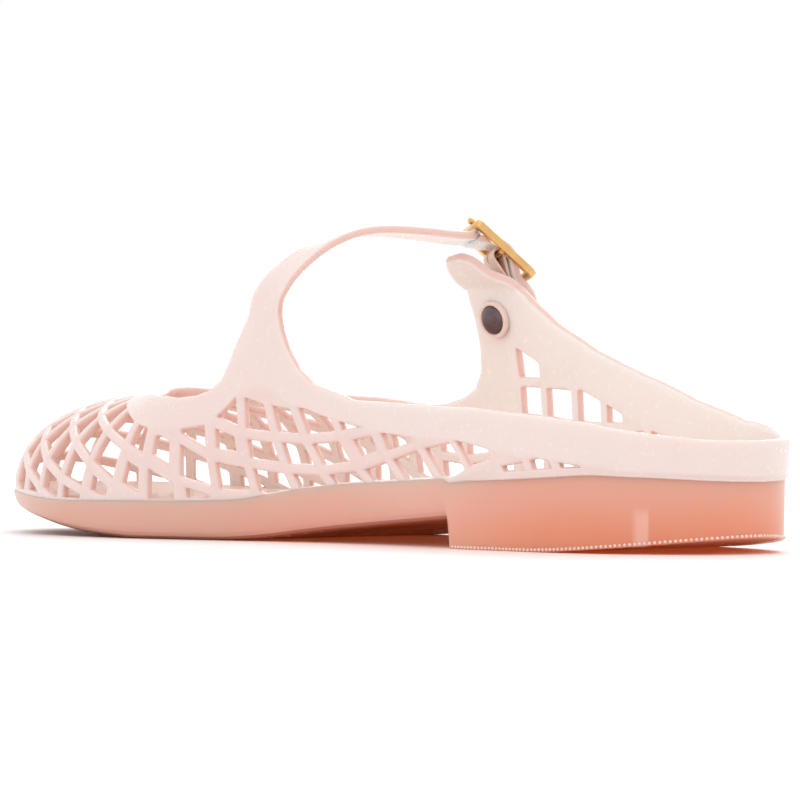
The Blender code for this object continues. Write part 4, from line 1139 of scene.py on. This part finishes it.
# The buckle, its tab and the rivet
def barMesh(name, rings):   # a closed strip of quads through equal rings
    count = len(rings[0])
    faces = ringFaces(count, len(rings))
    faces += [list(range(count))[::-1], [(len(rings) - 1) * count + i for i in range(count)]]
    return outwardFaces(meshObject(name, [toRow(v) for ring in rings for v in ring], faces))


def joined(name, pieces):
    bm = bmesh.new()
    for piece in pieces:
        bm.from_mesh(piece.data)
        bpy.data.objects.remove(piece, do_unlink=True)
    mesh = bpy.data.meshes.new(name)
    bm.to_mesh(mesh)
    bm.free()
    made = bpy.data.objects.new(name, mesh)
    bpy.context.scene.collection.objects.link(made)
    return made


def bevelled(made, width, segments):
    bevel = made.modifiers.new("soften", "BEVEL")
    bevel.width, bevel.segments, bevel.limit_method = width, segments, "ANGLE"
    bevel.angle_limit = math.radians(30)
    return bakeModifiers(made)


def makeFrame():
    length, width, bar, depth = (buckleSizes[k] for k in ("length", "width", "bar", "depth"))
    corner, rings = bar * 0.55, []
    for inset, cut in ((0.0, corner), (bar, 0.0004)):
        for out in (-depth / 2, depth / 2):
            ring = []
            for sx, sy in ((1, 1), (-1, 1), (-1, -1), (1, -1)):
                u, v = (length / 2 - inset) * sx, (width / 2 - inset) * sy
                pair = [(u, v - cut * sy), (u - cut * sx, v)]
                ring += pair if sx * sy > 0 else pair[::-1]
            rings.append([fromBuckle(u, v, out) for u, v in ring])
    lowOut, highOut, lowIn, highIn = rings
    verts = [toRow(v) for v in lowOut + highOut + highIn + lowIn]
    ringPiece = outwardFaces(meshObject("ring", verts, ringFaces(len(lowOut), 4, True)))
    ringPiece = bevelled(ringPiece, buckleSizes["edgeRound"], 3)
    half = width / 2 - bar * 0.6
    rings = [circlePoints(fromBuckle(0, side, -buckleSizes["axleDrop"] * (1 - abs(side) / half * 0.35)),
                          along, outward, 20, buckleSizes["axleRadius"]) for side in (-half, 0, half)]
    return joined("goldFrame", [ringPiece, barMesh("axle", rings)])


def sweptTube(name, path, radii, sides):
    rings = []
    for k, point in enumerate(path):
        onward = (path[min(k + 1, len(path) - 1)] - path[max(k - 1, 0)]).normalized()
        first = (across - onward * across.dot(onward)).normalized()
        rings.append(circlePoints(point, first, onward.cross(first), sides, radii[k]))
    return barMesh(name, rings)


prongSizes = {
    "over": 0.0027,           # how far the stem stands above the frame's middle
    "tipLift": 0.0015,
    "knob": 0.00085,
    "turns": 1.35,            # coils of the prong round the axle
}


def makeProng():
    radius = buckleSizes["prongRadius"]
    bend = buckleSizes["axleRadius"] + gap + radius
    rows, tip = [], -buckleSizes["length"] / 2 + buckleSizes["bar"] * 0.2
    steps = 26
    for i in range(steps + 1):
        angle = math.radians(60 + 360 * prongSizes["turns"] * (1 - i / steps))
        rows.append((bend * math.cos(angle), radius * 2.1 * (1 - i / steps) * prongSizes["turns"],
                     bend * math.sin(angle) - buckleSizes["axleDrop"]))
    stem = [rows[-1], (bend * -0.1, 0, 0.0008), (-0.0008, 0, 0.0019), (-0.0022, 0, prongSizes["over"]),
            (tip * 0.55, 0, prongSizes["over"] * 0.9), (tip * 0.82, 0, 0.0018),
            (tip - 0.0004, 0, prongSizes["tipLift"]), (tip - 0.0014, 0, prongSizes["tipLift"] - 0.0006)]
    rows += [tuple(splineAt(stem, k / 5)) for k in range(1, (len(stem) - 1) * 5 + 1)]
    path = [fromBuckle(*row) for row in rows]
    radii = [radius] * len(path)
    for k in range(6):
        radii[-1 - k] = radius + (prongSizes["knob"] - radius) * [0.2, 0.8, 1.0, 0.8, 0.4, 0.1][k]
    return sweptTube("goldProng", path, radii, 12)


tabSizes = {
    "width": 0.0082,
    "thickness": 0.0007,
    "seat": 0.0012,           # between the tab and the panel at the rivet
    "scallops": 3,            # waves along the tab's lower end
    "scallopDepth": 0.0007,
}
rivetSizes = {
    "shank": 0.0011,
    "innerHead": 0.0034,
    "outerHead": 0.0026,
    "headHeight": 0.0010,
    "bossHeight": 0.0006,     # ring moulded round the inner head
    "sides": 40,
}


def panelLine(place):
    return onLast(place, table(bandRows, 1, place)), onLast(place, table(rimRows, 1, place))


panelLow, panelHigh = panelLine(rivetPlace)
panelFront, panelBack = panelLine(rivetPlace - 0.008), panelLine(rivetPlace + 0.008)
panelAcross = panelFront[0] + panelFront[1] - panelBack[0] - panelBack[1]
rivetOn = panelLow.lerp(panelHigh, rivetRise)
rivetOut = panelAcross.cross(panelHigh - panelLow).normalized()
axleAt = fromBuckle(0, 0, -buckleSizes["axleDrop"])
rivetUp = (axleAt - rivetOn) - rivetOut * (axleAt - rivetOn).dot(rivetOut)
axleUp, axleOut = rivetUp.length, (axleAt - rivetOn).dot(rivetOut)
rivetUp.normalize()
rivetSide = rivetUp.cross(rivetOut).normalized()
axleSide = across if across.dot(rivetSide) > 0 else -across


def makeTab():
    thick, head = tabSizes["thickness"], rivetSizes["innerHead"]
    low, knee = -head * 0.85, axleUp * 0.66
    legOne, legTwo = tabSizes["seat"], tabSizes["seat"] + thick + gap
    middle = buckleSizes["axleRadius"] + 2 * gap + thick / 2
    line = [(u, legOne + thick / 2) for u in (low, low * 0.5, 0, head, (head + knee) / 2, knee)]
    line += [(axleUp + middle * math.cos(math.radians(a)), axleOut + middle * math.sin(math.radians(a)))
             for a in range(-105, 106, 15)]
    line += [(u, legTwo + thick / 2) for u in (knee, (head + knee) / 2, head, 0, low * 0.5, low)]
    columns, verts, faces = 13, [], []
    for k, (u, o) in enumerate(line):
        before, after = line[max(k - 1, 0)], line[min(k + 1, len(line) - 1)]
        du, do = after[0] - before[0], after[1] - before[1]
        size = math.hypot(du, do)
        for offset in (-thick / 2, thick / 2):
            pu, po = u + do / size * offset * -1, o + du / size * offset
            twist = min(max((pu - head) / (axleUp * 0.8 - head), 0.0), 1.0)
            sideways = rivetSide.lerp(axleSide, twist)
            for j in range(columns):
                share = j / (columns - 1)
                wave = tabSizes["scallopDepth"] * abs(math.sin(math.pi * tabSizes["scallops"] * share))
                atEnd = max(0.0, 1 - (u - low) / (head * 0.8))
                point = rivetOn + rivetUp * (pu - wave * atEnd) + rivetOut * po
                point -= across * (point - axleAt).dot(across) * twist
                verts.append(point + sideways * (share - 0.5) * tabSizes["width"])
    rows = len(line)
    at = lambda k, face, j: (k * 2 + face) * columns + j
    for k in range(rows - 1):
        for j in range(columns - 1):
            faces.append([at(k, 0, j), at(k, 0, j + 1), at(k + 1, 0, j + 1), at(k + 1, 0, j)])
            faces.append([at(k, 1, j + 1), at(k, 1, j), at(k + 1, 1, j), at(k + 1, 1, j + 1)])
        for j, turned in ((0, False), (columns - 1, True)):
            side = [at(k, 0, j), at(k + 1, 0, j), at(k + 1, 1, j), at(k, 1, j)]
            faces.append(side[::-1] if turned else side)
    for k, turned in ((0, True), (rows - 1, False)):
        for j in range(columns - 1):
            end = [at(k, 0, j), at(k, 0, j + 1), at(k, 1, j + 1), at(k, 1, j)]
            faces.append(end[::-1] if turned else end)
    made = bevelled(outwardFaces(meshObject("foldedTab", [toRow(v) for v in verts], faces)), 0.00018, 2)
    # the whole tab is mixed part way to the darker wall colour: painted shade, as it lies between strap and
    # lobe
    giveAttribute(made, "paintedWallShade", [0.55] * len(made.data.vertices))
    return made


def turned(name, stations, sides, centre, axis, start):   # a round piece from (height, radius)
    other = axis.cross(start).normalized()
    return barMesh(name, [circlePoints(centre + axis * height, start, other, sides, radius)
                          for height, radius in stations])


def makeRivet():
    stack = tabSizes["seat"] + 2 * tabSizes["thickness"] + 2 * gap
    inside, rise = -wall - gap, rivetSizes["headHeight"]
    inner, outer, shank = rivetSizes["innerHead"], rivetSizes["outerHead"], rivetSizes["shank"]
    innerDome = [(1.0, 0.02), (0.99, 0.30), (0.93, 0.56), (0.80, 0.76), (0.58, 0.92), (0.32, 0.99),
                 (0.10, 1.0), (0.0, 0.97)]
    outerDome = [(0.0, 0.96), (0.2, 1.0), (0.55, 0.93), (0.85, 0.65), (1.0, 0.3), (1.01, 0.02)]
    stations = [(inside - rise * up, inner * share) for up, share in innerDome]
    stations += [(inside, shank), (stack, shank)]
    stations += [(stack + rise * up, outer * share) for up, share in outerDome]
    return turned("darkRivet", stations, rivetSizes["sides"], rivetOn, rivetOut, rivetUp)


def makeBoss():   # the moulded ring that the inner head lies in
    inner, rise, foot = rivetSizes["innerHead"], rivetSizes["bossHeight"], -wall + 0.0004
    stations = [(foot, 1.02), (-wall - rise, 1.03), (-wall - rise * 1.25, 1.12),
                (-wall - rise * 1.1, 1.24), (-wall - rise * 0.4, 1.30), (foot, 1.32)]
    sides, other = rivetSizes["sides"], rivetOut.cross(rivetUp).normalized()
    verts = [toRow(v) for height, share in stations
             for v in circlePoints(rivetOn + rivetOut * height, rivetUp, other, sides, inner * share)]
    made = outwardFaces(meshObject("rivetBoss", verts, ringFaces(sides, len(stations), True)))
    giveAttribute(made, "paleBand", [0.7] * len(made.data.vertices))
    return made


framePiece, prongPiece, tabPiece = makeFrame(), makeProng(), makeTab()
rivetPiece, bossPiece = makeRivet(), makeBoss()
print("buckle, tab and rivet made")


# The finishes
def nodeGroup(name, inputs, outputs):
    group = bpy.data.node_groups.new(name, "ShaderNodeTree")
    for label, kind, value in inputs:
        group.interface.new_socket(label, in_out="INPUT", socket_type=kind).default_value = value
    for label, kind in outputs:
        group.interface.new_socket(label, in_out="OUTPUT", socket_type=kind)
    return group, group.nodes.new("NodeGroupInput"), group.nodes.new("NodeGroupOutput")


def makeClouding():   # slow uneven tint of cast plastic
    group, given, result = nodeGroup("castClouding", [
        ("Size", "NodeSocketFloat", 60.0), ("Strength", "NodeSocketFloat", 0.5)],
        [("Mask", "NodeSocketFloat")])
    where, noise = group.nodes.new("ShaderNodeTexCoord"), group.nodes.new("ShaderNodeTexNoise")
    noise.inputs["Detail"].default_value = 4.0
    noise.inputs["Roughness"].default_value = 0.55
    spread = group.nodes.new("ShaderNodeMapRange")
    spread.inputs["From Min"].default_value, spread.inputs["From Max"].default_value = 0.32, 0.68
    scale = group.nodes.new("ShaderNodeMath")
    scale.operation = "MULTIPLY"
    group.links.new(where.outputs["Object"], noise.inputs["Vector"])
    group.links.new(given.outputs["Size"], noise.inputs["Scale"])
    group.links.new(noise.outputs["Fac"], spread.inputs["Value"])
    group.links.new(spread.outputs["Result"], scale.inputs[0])
    group.links.new(given.outputs["Strength"], scale.inputs[1])
    group.links.new(scale.outputs[0], result.inputs["Mask"])
    return group


def makeSkin():   # the faint orange-peel of a moulded face
    group, given, result = nodeGroup("mouldSkin", [
        ("Size", "NodeSocketFloat", 900.0), ("Depth", "NodeSocketFloat", 0.00004)],
        [("Normal", "NodeSocketVector"), ("Mask", "NodeSocketFloat")])
    where, noise = group.nodes.new("ShaderNodeTexCoord"), group.nodes.new("ShaderNodeTexNoise")
    noise.inputs["Detail"].default_value = 3.0
    bump = group.nodes.new("ShaderNodeBump")
    bump.inputs["Strength"].default_value = 0.6
    group.links.new(where.outputs["Object"], noise.inputs["Vector"])
    group.links.new(given.outputs["Size"], noise.inputs["Scale"])
    group.links.new(noise.outputs["Fac"], bump.inputs["Height"])
    group.links.new(given.outputs["Depth"], bump.inputs["Distance"])
    group.links.new(bump.outputs["Normal"], result.inputs["Normal"])
    group.links.new(noise.outputs["Fac"], result.inputs["Mask"])
    return group


clouding, skin = makeClouding(), makeSkin()


def newFinish(name):
    made = bpy.data.materials.new(name)
    made.use_nodes = True
    tree = made.node_tree
    return made, tree, tree.nodes["Principled BSDF"]


def addGroup(tree, group, **values):
    node = tree.nodes.new("ShaderNodeGroup")
    node.node_tree = group
    for label, value in values.items():
        node.inputs[label].default_value = value
    return node


def mixColours(tree, factor, first, second):
    mix = tree.nodes.new("ShaderNodeMix")
    mix.data_type = "RGBA"
    for socket, given in ((mix.inputs[6], first), (mix.inputs[7], second)):
        if isinstance(given, tuple):
            socket.default_value = (*given, 1.0)
        else:
            tree.links.new(given, socket)
    tree.links.new(factor, mix.inputs[0])
    return mix.outputs[2]


def rangeOf(tree, value, low, high, start=0.0, end=1.0, smooth=True):
    node = tree.nodes.new("ShaderNodeMapRange")
    node.interpolation_type = "SMOOTHSTEP" if smooth else "LINEAR"
    for label, number in (("From Min", low), ("From Max", high), ("To Min", start), ("To Max", end)):
        node.inputs[label].default_value = number
    tree.links.new(value, node.inputs["Value"])
    return node.outputs["Result"]


def setSkin(tree, shader, fine, low, high):   # the skin's bump, and its share in the roughness
    tree.links.new(rangeOf(tree, fine.outputs["Mask"], 0.3, 0.7, low, high, False),
                   shader.inputs["Roughness"])
    tree.links.new(fine.outputs["Normal"], shader.inputs["Normal"])


def setSockets(shader, values):
    for label, value in values.items():
        shader.inputs[label].default_value = value


jellyLook = {
    "strand": (0.80, 0.65, 0.61),
    "band": (0.86, 0.795, 0.77),
    "frontBand": (0.83, 0.68, 0.645),
    # the band on the far side, near white: painted light from behind shining through it
    "backlitFarBand": (0.88, 0.87, 0.85),
    # colour of hole walls and rim edges: painted shade
    "wall": (0.80, 0.58, 0.52),
    "cloud": (0.82, 0.70, 0.67),
    "roughness": 0.26,
}
tabLook = {
    "strand": (0.92, 0.68, 0.59),
    "band": (0.93, 0.72, 0.64),
    "frontBand": (0.93, 0.72, 0.64),
    "backlitFarBand": (0.93, 0.72, 0.64),
    # colour of the tab's walls and edges: painted shade
    "wall": (0.92, 0.58, 0.46),
    "cloud": (0.92, 0.70, 0.62),
    "roughness": 0.26,
}


def makeJelly(name, look, scatter):
    made, tree, shader = newFinish(name)
    tint = tree.nodes.new("ShaderNodeAttribute")
    tint.attribute_name = "paintedWallShade"
    pale = tree.nodes.new("ShaderNodeAttribute")
    pale.attribute_name = "paleBand"
    cloud = addGroup(tree, clouding, Size=70.0, Strength=0.5)
    fine = addGroup(tree, skin, Size=700.0, Depth=0.000005)
    where, parts = tree.nodes.new("ShaderNodeTexCoord"), tree.nodes.new("ShaderNodeSeparateXYZ")
    tree.links.new(where.outputs["Object"], parts.inputs["Vector"])
    lattice = mixColours(tree, cloud.outputs["Mask"], look["strand"], look["cloud"])
    band = mixColours(tree, rangeOf(tree, parts.outputs["Y"], 0.04, 0.17), look["band"], look["frontBand"])
    # past this width the band takes the far side's paler colour: painted backlight
    band = mixColours(tree, rangeOf(tree, parts.outputs["X"], 0.0, 0.022), band, look["backlitFarBand"])
    face = mixColours(tree, rangeOf(tree, pale.outputs["Fac"], 0.0, 1.0), lattice, band)
    # hole walls and rim edges are mixed towards the darker wall colour: painted shade
    depth = rangeOf(tree, tint.outputs["Fac"], 0.0, 0.95)
    tree.links.new(mixColours(tree, depth, face, look["wall"]), shader.inputs["Base Color"])
    setSkin(tree, shader, fine, look["roughness"] - 0.02, look["roughness"] + 0.02)
    setSockets(shader, {"Subsurface Weight": scatter, "Subsurface Scale": 0.0022,
                        "Subsurface Radius": (1.0, 0.75, 0.66), "IOR": 1.45})
    return made


soleLook = {
    "heel": (0.76, 0.26, 0.138),
    "forefoot": (0.76, 0.425, 0.34),
    "seam": (0.84, 0.53, 0.455),
    # deep brown for the arch's underside: painted shade
    "under": (0.36, 0.085, 0.03),
    "strip": (0.86, 0.50, 0.40),
    "cloud": (0.76, 0.325, 0.21),
    "roughness": 0.3,
}


def product(tree, *values):
    result = values[0]
    for value in values[1:]:
        node = tree.nodes.new("ShaderNodeMath")
        node.operation = "MULTIPLY"
        for socket, given in zip(node.inputs, (result, value)):
            if isinstance(given, float):
                socket.default_value = given
            else:
                tree.links.new(given, socket)
        result = node.outputs[0]
    return result


def cornerStrip(tree, parts):   # a pale upright gleam where the heel turns from its side to its back
    along = tree.nodes.new("ShaderNodeVectorMath")
    along.operation = "DOT_PRODUCT"
    where = tree.nodes.new("ShaderNodeTexCoord")
    tree.links.new(where.outputs["Object"], along.inputs[0])
    along.inputs[1].default_value = (0.766, -0.643, 0)
    return product(tree, rangeOf(tree, along.outputs["Value"], -0.0016, 0.0004),
                   rangeOf(tree, along.outputs["Value"], 0.0027, 0.0022),
                   rangeOf(tree, parts.outputs["X"], -0.008, -0.012),
                   rangeOf(tree, parts.outputs["Z"], 0.011, 0.008), 0.75)


def makeSole():
    made, tree, shader = newFinish("salmonSole")
    where, parts = tree.nodes.new("ShaderNodeTexCoord"), tree.nodes.new("ShaderNodeSeparateXYZ")
    tree.links.new(where.outputs["Object"], parts.inputs["Vector"])
    cloud = addGroup(tree, clouding, Size=38.0, Strength=0.35)
    fine = addGroup(tree, skin, Size=600.0, Depth=0.000006)
    towardToe = rangeOf(tree, parts.outputs["Y"], -0.005, 0.055)
    deep = mixColours(tree, towardToe, soleLook["heel"], soleLook["forefoot"])
    deep = mixColours(tree, cloud.outputs["Mask"], deep, soleLook["cloud"])
    upward = rangeOf(tree, parts.outputs["Z"], 0.0, 0.016)
    body = mixColours(tree, product(tree, upward, 0.45), deep, soleLook["seam"])
    body = mixColours(tree, cornerStrip(tree, parts), body, soleLook["strip"])
    facing = tree.nodes.new("ShaderNodeNewGeometry")
    facingParts = tree.nodes.new("ShaderNodeSeparateXYZ")
    tree.links.new(facing.outputs["True Normal"], facingParts.inputs["Vector"])
    # faces turned down under the arch are painted dark brown: painted shade
    archShadeMask = product(tree, rangeOf(tree, facingParts.outputs["Z"], -0.55, -0.95),
                     rangeOf(tree, parts.outputs["Y"], 0.026, 0.031))
    tree.links.new(mixColours(tree, archShadeMask, body, soleLook["under"]), shader.inputs["Base Color"])
    setSkin(tree, shader, fine, soleLook["roughness"] - 0.02, soleLook["roughness"] + 0.02)
    setSockets(shader, {"Subsurface Weight": 0.6, "Subsurface Scale": 0.008,
                        "Subsurface Radius": (1.0, 0.4, 0.25), "IOR": 1.45})
    return made


bedLook = {
    "base": (0.90, 0.60, 0.50),
    "cloud": (0.93, 0.70, 0.62),
    "roughness": 0.5,
}


def makeBedFinish():
    made, tree, shader = newFinish("blushFootbed")
    cloud = addGroup(tree, clouding, Size=45.0, Strength=0.5)
    fine = addGroup(tree, skin, Size=1300.0, Depth=0.00006)
    tree.links.new(mixColours(tree, cloud.outputs["Mask"], bedLook["base"], bedLook["cloud"]),
                   shader.inputs["Base Color"])
    tree.links.new(fine.outputs["Normal"], shader.inputs["Normal"])
    setSockets(shader, {"Roughness": bedLook["roughness"], "Subsurface Weight": 0.5,
                        "Subsurface Scale": 0.004, "Subsurface Radius": (1.0, 0.5, 0.35)})
    return made


metalLooks = {
    "paleGold": {"light": (0.84, 0.52, 0.22), "dark": (0.70, 0.38, 0.12), "roughness": 0.16},
    "paleGoldFrame": {"light": (0.84, 0.52, 0.22), "dark": (0.72, 0.40, 0.13), "roughness": 0.16,
                      "outer": (0.34, 0.24, 0.13)},
    "darkGunmetal": {"light": (0.13, 0.10, 0.11), "dark": (0.22, 0.17, 0.18), "roughness": 0.3},
}


def makeMetal(name, light, dark, roughness, outer=None):
    made, tree, shader = newFinish(name)
    cloud = addGroup(tree, clouding, Size=300.0, Strength=0.7)
    fine = addGroup(tree, skin, Size=2600.0, Depth=0.000012)
    colour = mixColours(tree, cloud.outputs["Mask"], light, dark)
    if outer:   # the buckle's faces turned outward are coloured darker
        facing, toward = tree.nodes.new("ShaderNodeNewGeometry"), tree.nodes.new("ShaderNodeVectorMath")
        toward.operation = "DOT_PRODUCT"
        tree.links.new(facing.outputs["True Normal"], toward.inputs[0])
        toward.inputs[1].default_value = outward
        colour = mixColours(tree, rangeOf(tree, toward.outputs["Value"], 0.55, 0.85), colour, outer)
    tree.links.new(colour, shader.inputs["Base Color"])
    setSkin(tree, shader, fine, roughness - 0.05, roughness + 0.08)
    setSockets(shader, {"Metallic": 1.0})
    return made


jelly, salmon, bedFinish = makeJelly("blushJelly", jellyLook, 0.7), makeSole(), makeBedFinish()
tabFinish = makeJelly("peachTab", tabLook, 0.25)
gold, frameGold, gunmetal = (makeMetal(name, **look) for name, look in metalLooks.items())
print("finishes made")


# Tread, milled edge and footbed dots, by the node trees above
treadRuns = [(0.44, 0.90), (0.035, 0.275)]   # forefoot and heel, as shares of the length


def treadGuide():   # a waved line across the sole for each rib
    verts, edges, spans, margin = [], [], 12, soleSizes["ribMargin"]
    for low, high in treadRuns:
        tucked = soleSizes["forefootTuck"] if low > 0.3 else soleSizes["heelTuck"] + soleSizes["ledge"]
        y = low * shoeLength
        while y < high * shoeLength:
            inner, outer = widthAt(y)
            start = len(verts)
            for i in range(spans + 1):
                x = inner + tucked + margin + (outer - inner - 2 * tucked - 2 * margin) * i / spans
                bow = soleSizes["ribBow"] * math.sin(math.pi * 4 * i / spans)
                verts.append(Vector((x, y + bow, soleLow(y + bow) + soleSizes["ribHeight"] * 0.25)))
            edges += [(start + i, start + i + 1) for i in range(spans)]
            y += soleSizes["ribPitch"]
    return guideMesh("treadGuide", verts, edges)


def edgeGuide():   # a point for each stud, round the heel's lower edge
    verts, run, before = [], 0.0, None
    for place in [*np.linspace(-1, -0.64, 900), *np.linspace(0.64, 1, 900)]:
        edge = outline(place)
        if edge.y > soleSizes["breast"] * shoeLength - 0.001:
            before = None
            continue
        point = insetOutline(place, soleInset(edge.y, 0.8, 0.9))
        point.z = soleLow(edge.y) + 0.0005
        run = run + (point - before).length if before else soleSizes["notchPitch"]
        before = point
        if run >= soleSizes["notchPitch"]:
            verts.append(point)
            run = 0.0
    return guideMesh("edgeGuide", verts, [])


def dotGuide():   # staggered rows of points on the footbed
    verts, row, y = [], 0, footbedSizes["dotStart"]
    pitch, margin = footbedSizes["dotPitch"], footbedSizes["dotMargin"]
    while y < shoeLength - footbedSizes["dotEnd"]:
        inner, outer = widthAt(y)
        x = inner + margin + (row % 2) * pitch / 2
        while x < outer - margin:
            share = abs((x - (inner + outer) / 2) / ((outer - inner) / 2 - footbedSizes["inset"]))
            verts.append(Vector((x, y, bedHeight(y, table(dishRows, 1, share)))))
            x += pitch
        y += pitch * 0.866
        row += 1
    return guideMesh("dotGuide", verts, [])


studs, ribs = studTree(), ribTree()
treadPiece = runTree("treadRibs", treadGuide(), ribs,
                     {"Rib Width": soleSizes["ribWidth"],
                      "Rib Height": soleSizes["ribHeight"] * 0.3}, salmon)
notchPiece = runTree("milledEdge", edgeGuide(), studs,
                     {"Stud Radius": soleSizes["notchRadius"], "Stud Height": soleSizes["notchHeight"],
                      "Size Spread": 0.1, "Seed": 3}, salmon)
dotPiece = runTree("footbedDots", dotGuide(), studs,
                   {"Stud Radius": footbedSizes["dotRadius"], "Stud Height": footbedSizes["dotHeight"],
                    "Size Spread": 0.06, "Seed": 5}, bedFinish)
print("tread, milled edge and dots set out")

for made, finish, slot, nodes in (
        (cagePiece, jelly, "jelly_pvc", ["upper"]),
        (solePiece, salmon, "sole_pvc", ["outsole"]),
        (bedPiece, bedFinish, "footbed", ["insole"]),
        (framePiece, frameGold, "gold_plate", ["buckle_frame"]),
        (prongPiece, gold, "gold_plate", ["buckle_prong"]),
        (tabPiece, tabFinish, "jelly_pvc", ["buckle_tab"]),
        (rivetPiece, gunmetal, "gunmetal", ["rivet"]), (bossPiece, tabFinish, "jelly_pvc", []),
        (treadPiece, salmon, "sole_pvc", []), (notchPiece, tabFinish, "sole_pvc", []),
        (dotPiece, bedFinish, "footbed", [])):
    made.data.materials.clear()
    made.data.materials.append(finish)
    if made in (cagePiece, treadPiece, notchPiece, dotPiece):
        made.data.shade_smooth()
    elif made not in (solePiece, bedPiece):
        shadeBy(made, 42)
    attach(made, "root")
    if nodes:
        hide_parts(*nodes)


# Floor, light and camera
studio = {
    "skyStrength": 1.0,
    "sunStrength": 0.3,
    "keyPower": 0.8,
    "backPower": 3.0,
    "lightAim": (0, 0.08, 0.03),
    "floor": (0.95, 0.945, 0.94),
    "floorCloud": (0.95, 0.95, 0.95),
    "glow": (0.13, 0.028, 0.008),   # light that comes down through the sole
    "glowHalf": (0.045, 0.120),     # its half width and half length
    "glowShift": -0.33,             # moves it towards the toe, in half lengths
    "azimuth": -40.5,
    "elevation": 1.9,
    "distance": 1.4,
    "lens": 270.9,
    "shift": (-0.005, 0.176),
    "aim": (0, 0.0775, 0),
}


def makeFloor():
    made = meshObject("studioFloor", [(-6, -6, 0), (6, -6, 0), (6, 6, 0), (-6, 6, 0)], [(0, 1, 2, 3)])
    finish, tree, shader = newFinish("paleFloor")
    cloud = addGroup(tree, clouding, Size=2.0, Strength=0.3)
    tree.links.new(mixColours(tree, cloud.outputs["Mask"], studio["floor"], studio["floorCloud"]),
                   shader.inputs["Base Color"])
    where, place = tree.nodes.new("ShaderNodeTexCoord"), tree.nodes.new("ShaderNodeMapping")
    place.inputs["Location"].default_value = (0.0, studio["glowShift"], 0.0)
    place.inputs["Scale"].default_value = (1 / studio["glowHalf"][0], 1 / studio["glowHalf"][1], 1.0)
    far = tree.nodes.new("ShaderNodeVectorMath")
    far.operation = "LENGTH"
    tree.links.new(where.outputs["Object"], place.inputs["Vector"])
    tree.links.new(place.outputs["Vector"], far.inputs[0])
    near = rangeOf(tree, far.outputs["Value"], 1.0, 0.7)
    tree.links.new(mixColours(tree, near, (0.0, 0.0, 0.0), studio["glow"]), shader.inputs["Emission Color"])
    setSockets(shader, {"Roughness": 0.55, "Emission Strength": 1.0})
    made.data.materials.append(finish)


def areaLight(name, place, target, size, power):
    lamp = bpy.data.lights.new(name, "AREA")
    lamp.shape, lamp.size, lamp.energy = "DISK", size, power
    made = bpy.data.objects.new(name, lamp)
    made.location = place
    made.rotation_euler = (Vector(target) - Vector(place)).to_track_quat("-Z", "Y").to_euler()
    bpy.context.scene.collection.objects.link(made)


makeFloor()
world = bpy.data.worlds.new("paleStudio")
world.use_nodes = True
world.node_tree.nodes["Background"].inputs["Color"].default_value = (1.0, 1.0, 1.0, 1.0)
world.node_tree.nodes["Background"].inputs["Strength"].default_value = studio["skyStrength"]
bpy.context.scene.world = world
areaLight("keyLight", (-0.9, -0.2, 1.1), studio["lightAim"], 0.8, studio["keyPower"])
areaLight("backLight", (0.75, 0.7, 0.55), studio["lightAim"], 0.9, studio["backPower"])
sun = bpy.data.objects.new("softSun", bpy.data.lights.new("softSun", "SUN"))
sun.data.energy, sun.data.angle = studio["sunStrength"], math.radians(75)
sun.rotation_euler = (math.radians(-12), math.radians(14), 0)
bpy.context.scene.collection.objects.link(sun)

azimuth, elevation = math.radians(studio["azimuth"]), math.radians(studio["elevation"])
back = Vector((math.sin(azimuth) * math.cos(elevation), -math.cos(azimuth) * math.cos(elevation),
               math.sin(elevation)))
camera = bpy.data.objects.new("photoCamera", bpy.data.cameras.new("photoCamera"))
camera.data.lens, camera.data.sensor_width = studio["lens"], 36.0
camera.data.shift_x, camera.data.shift_y = studio["shift"]
camera.data.clip_end = 50
camera.location = Vector(studio["aim"]) + back * studio["distance"]
camera.rotation_euler = (-back).to_track_quat("-Z", "Y").to_euler()
bpy.context.scene.collection.objects.link(camera)
bpy.context.scene.camera = camera
bpy.context.scene.view_settings.view_transform = "Standard"
print("floor, light and camera set")
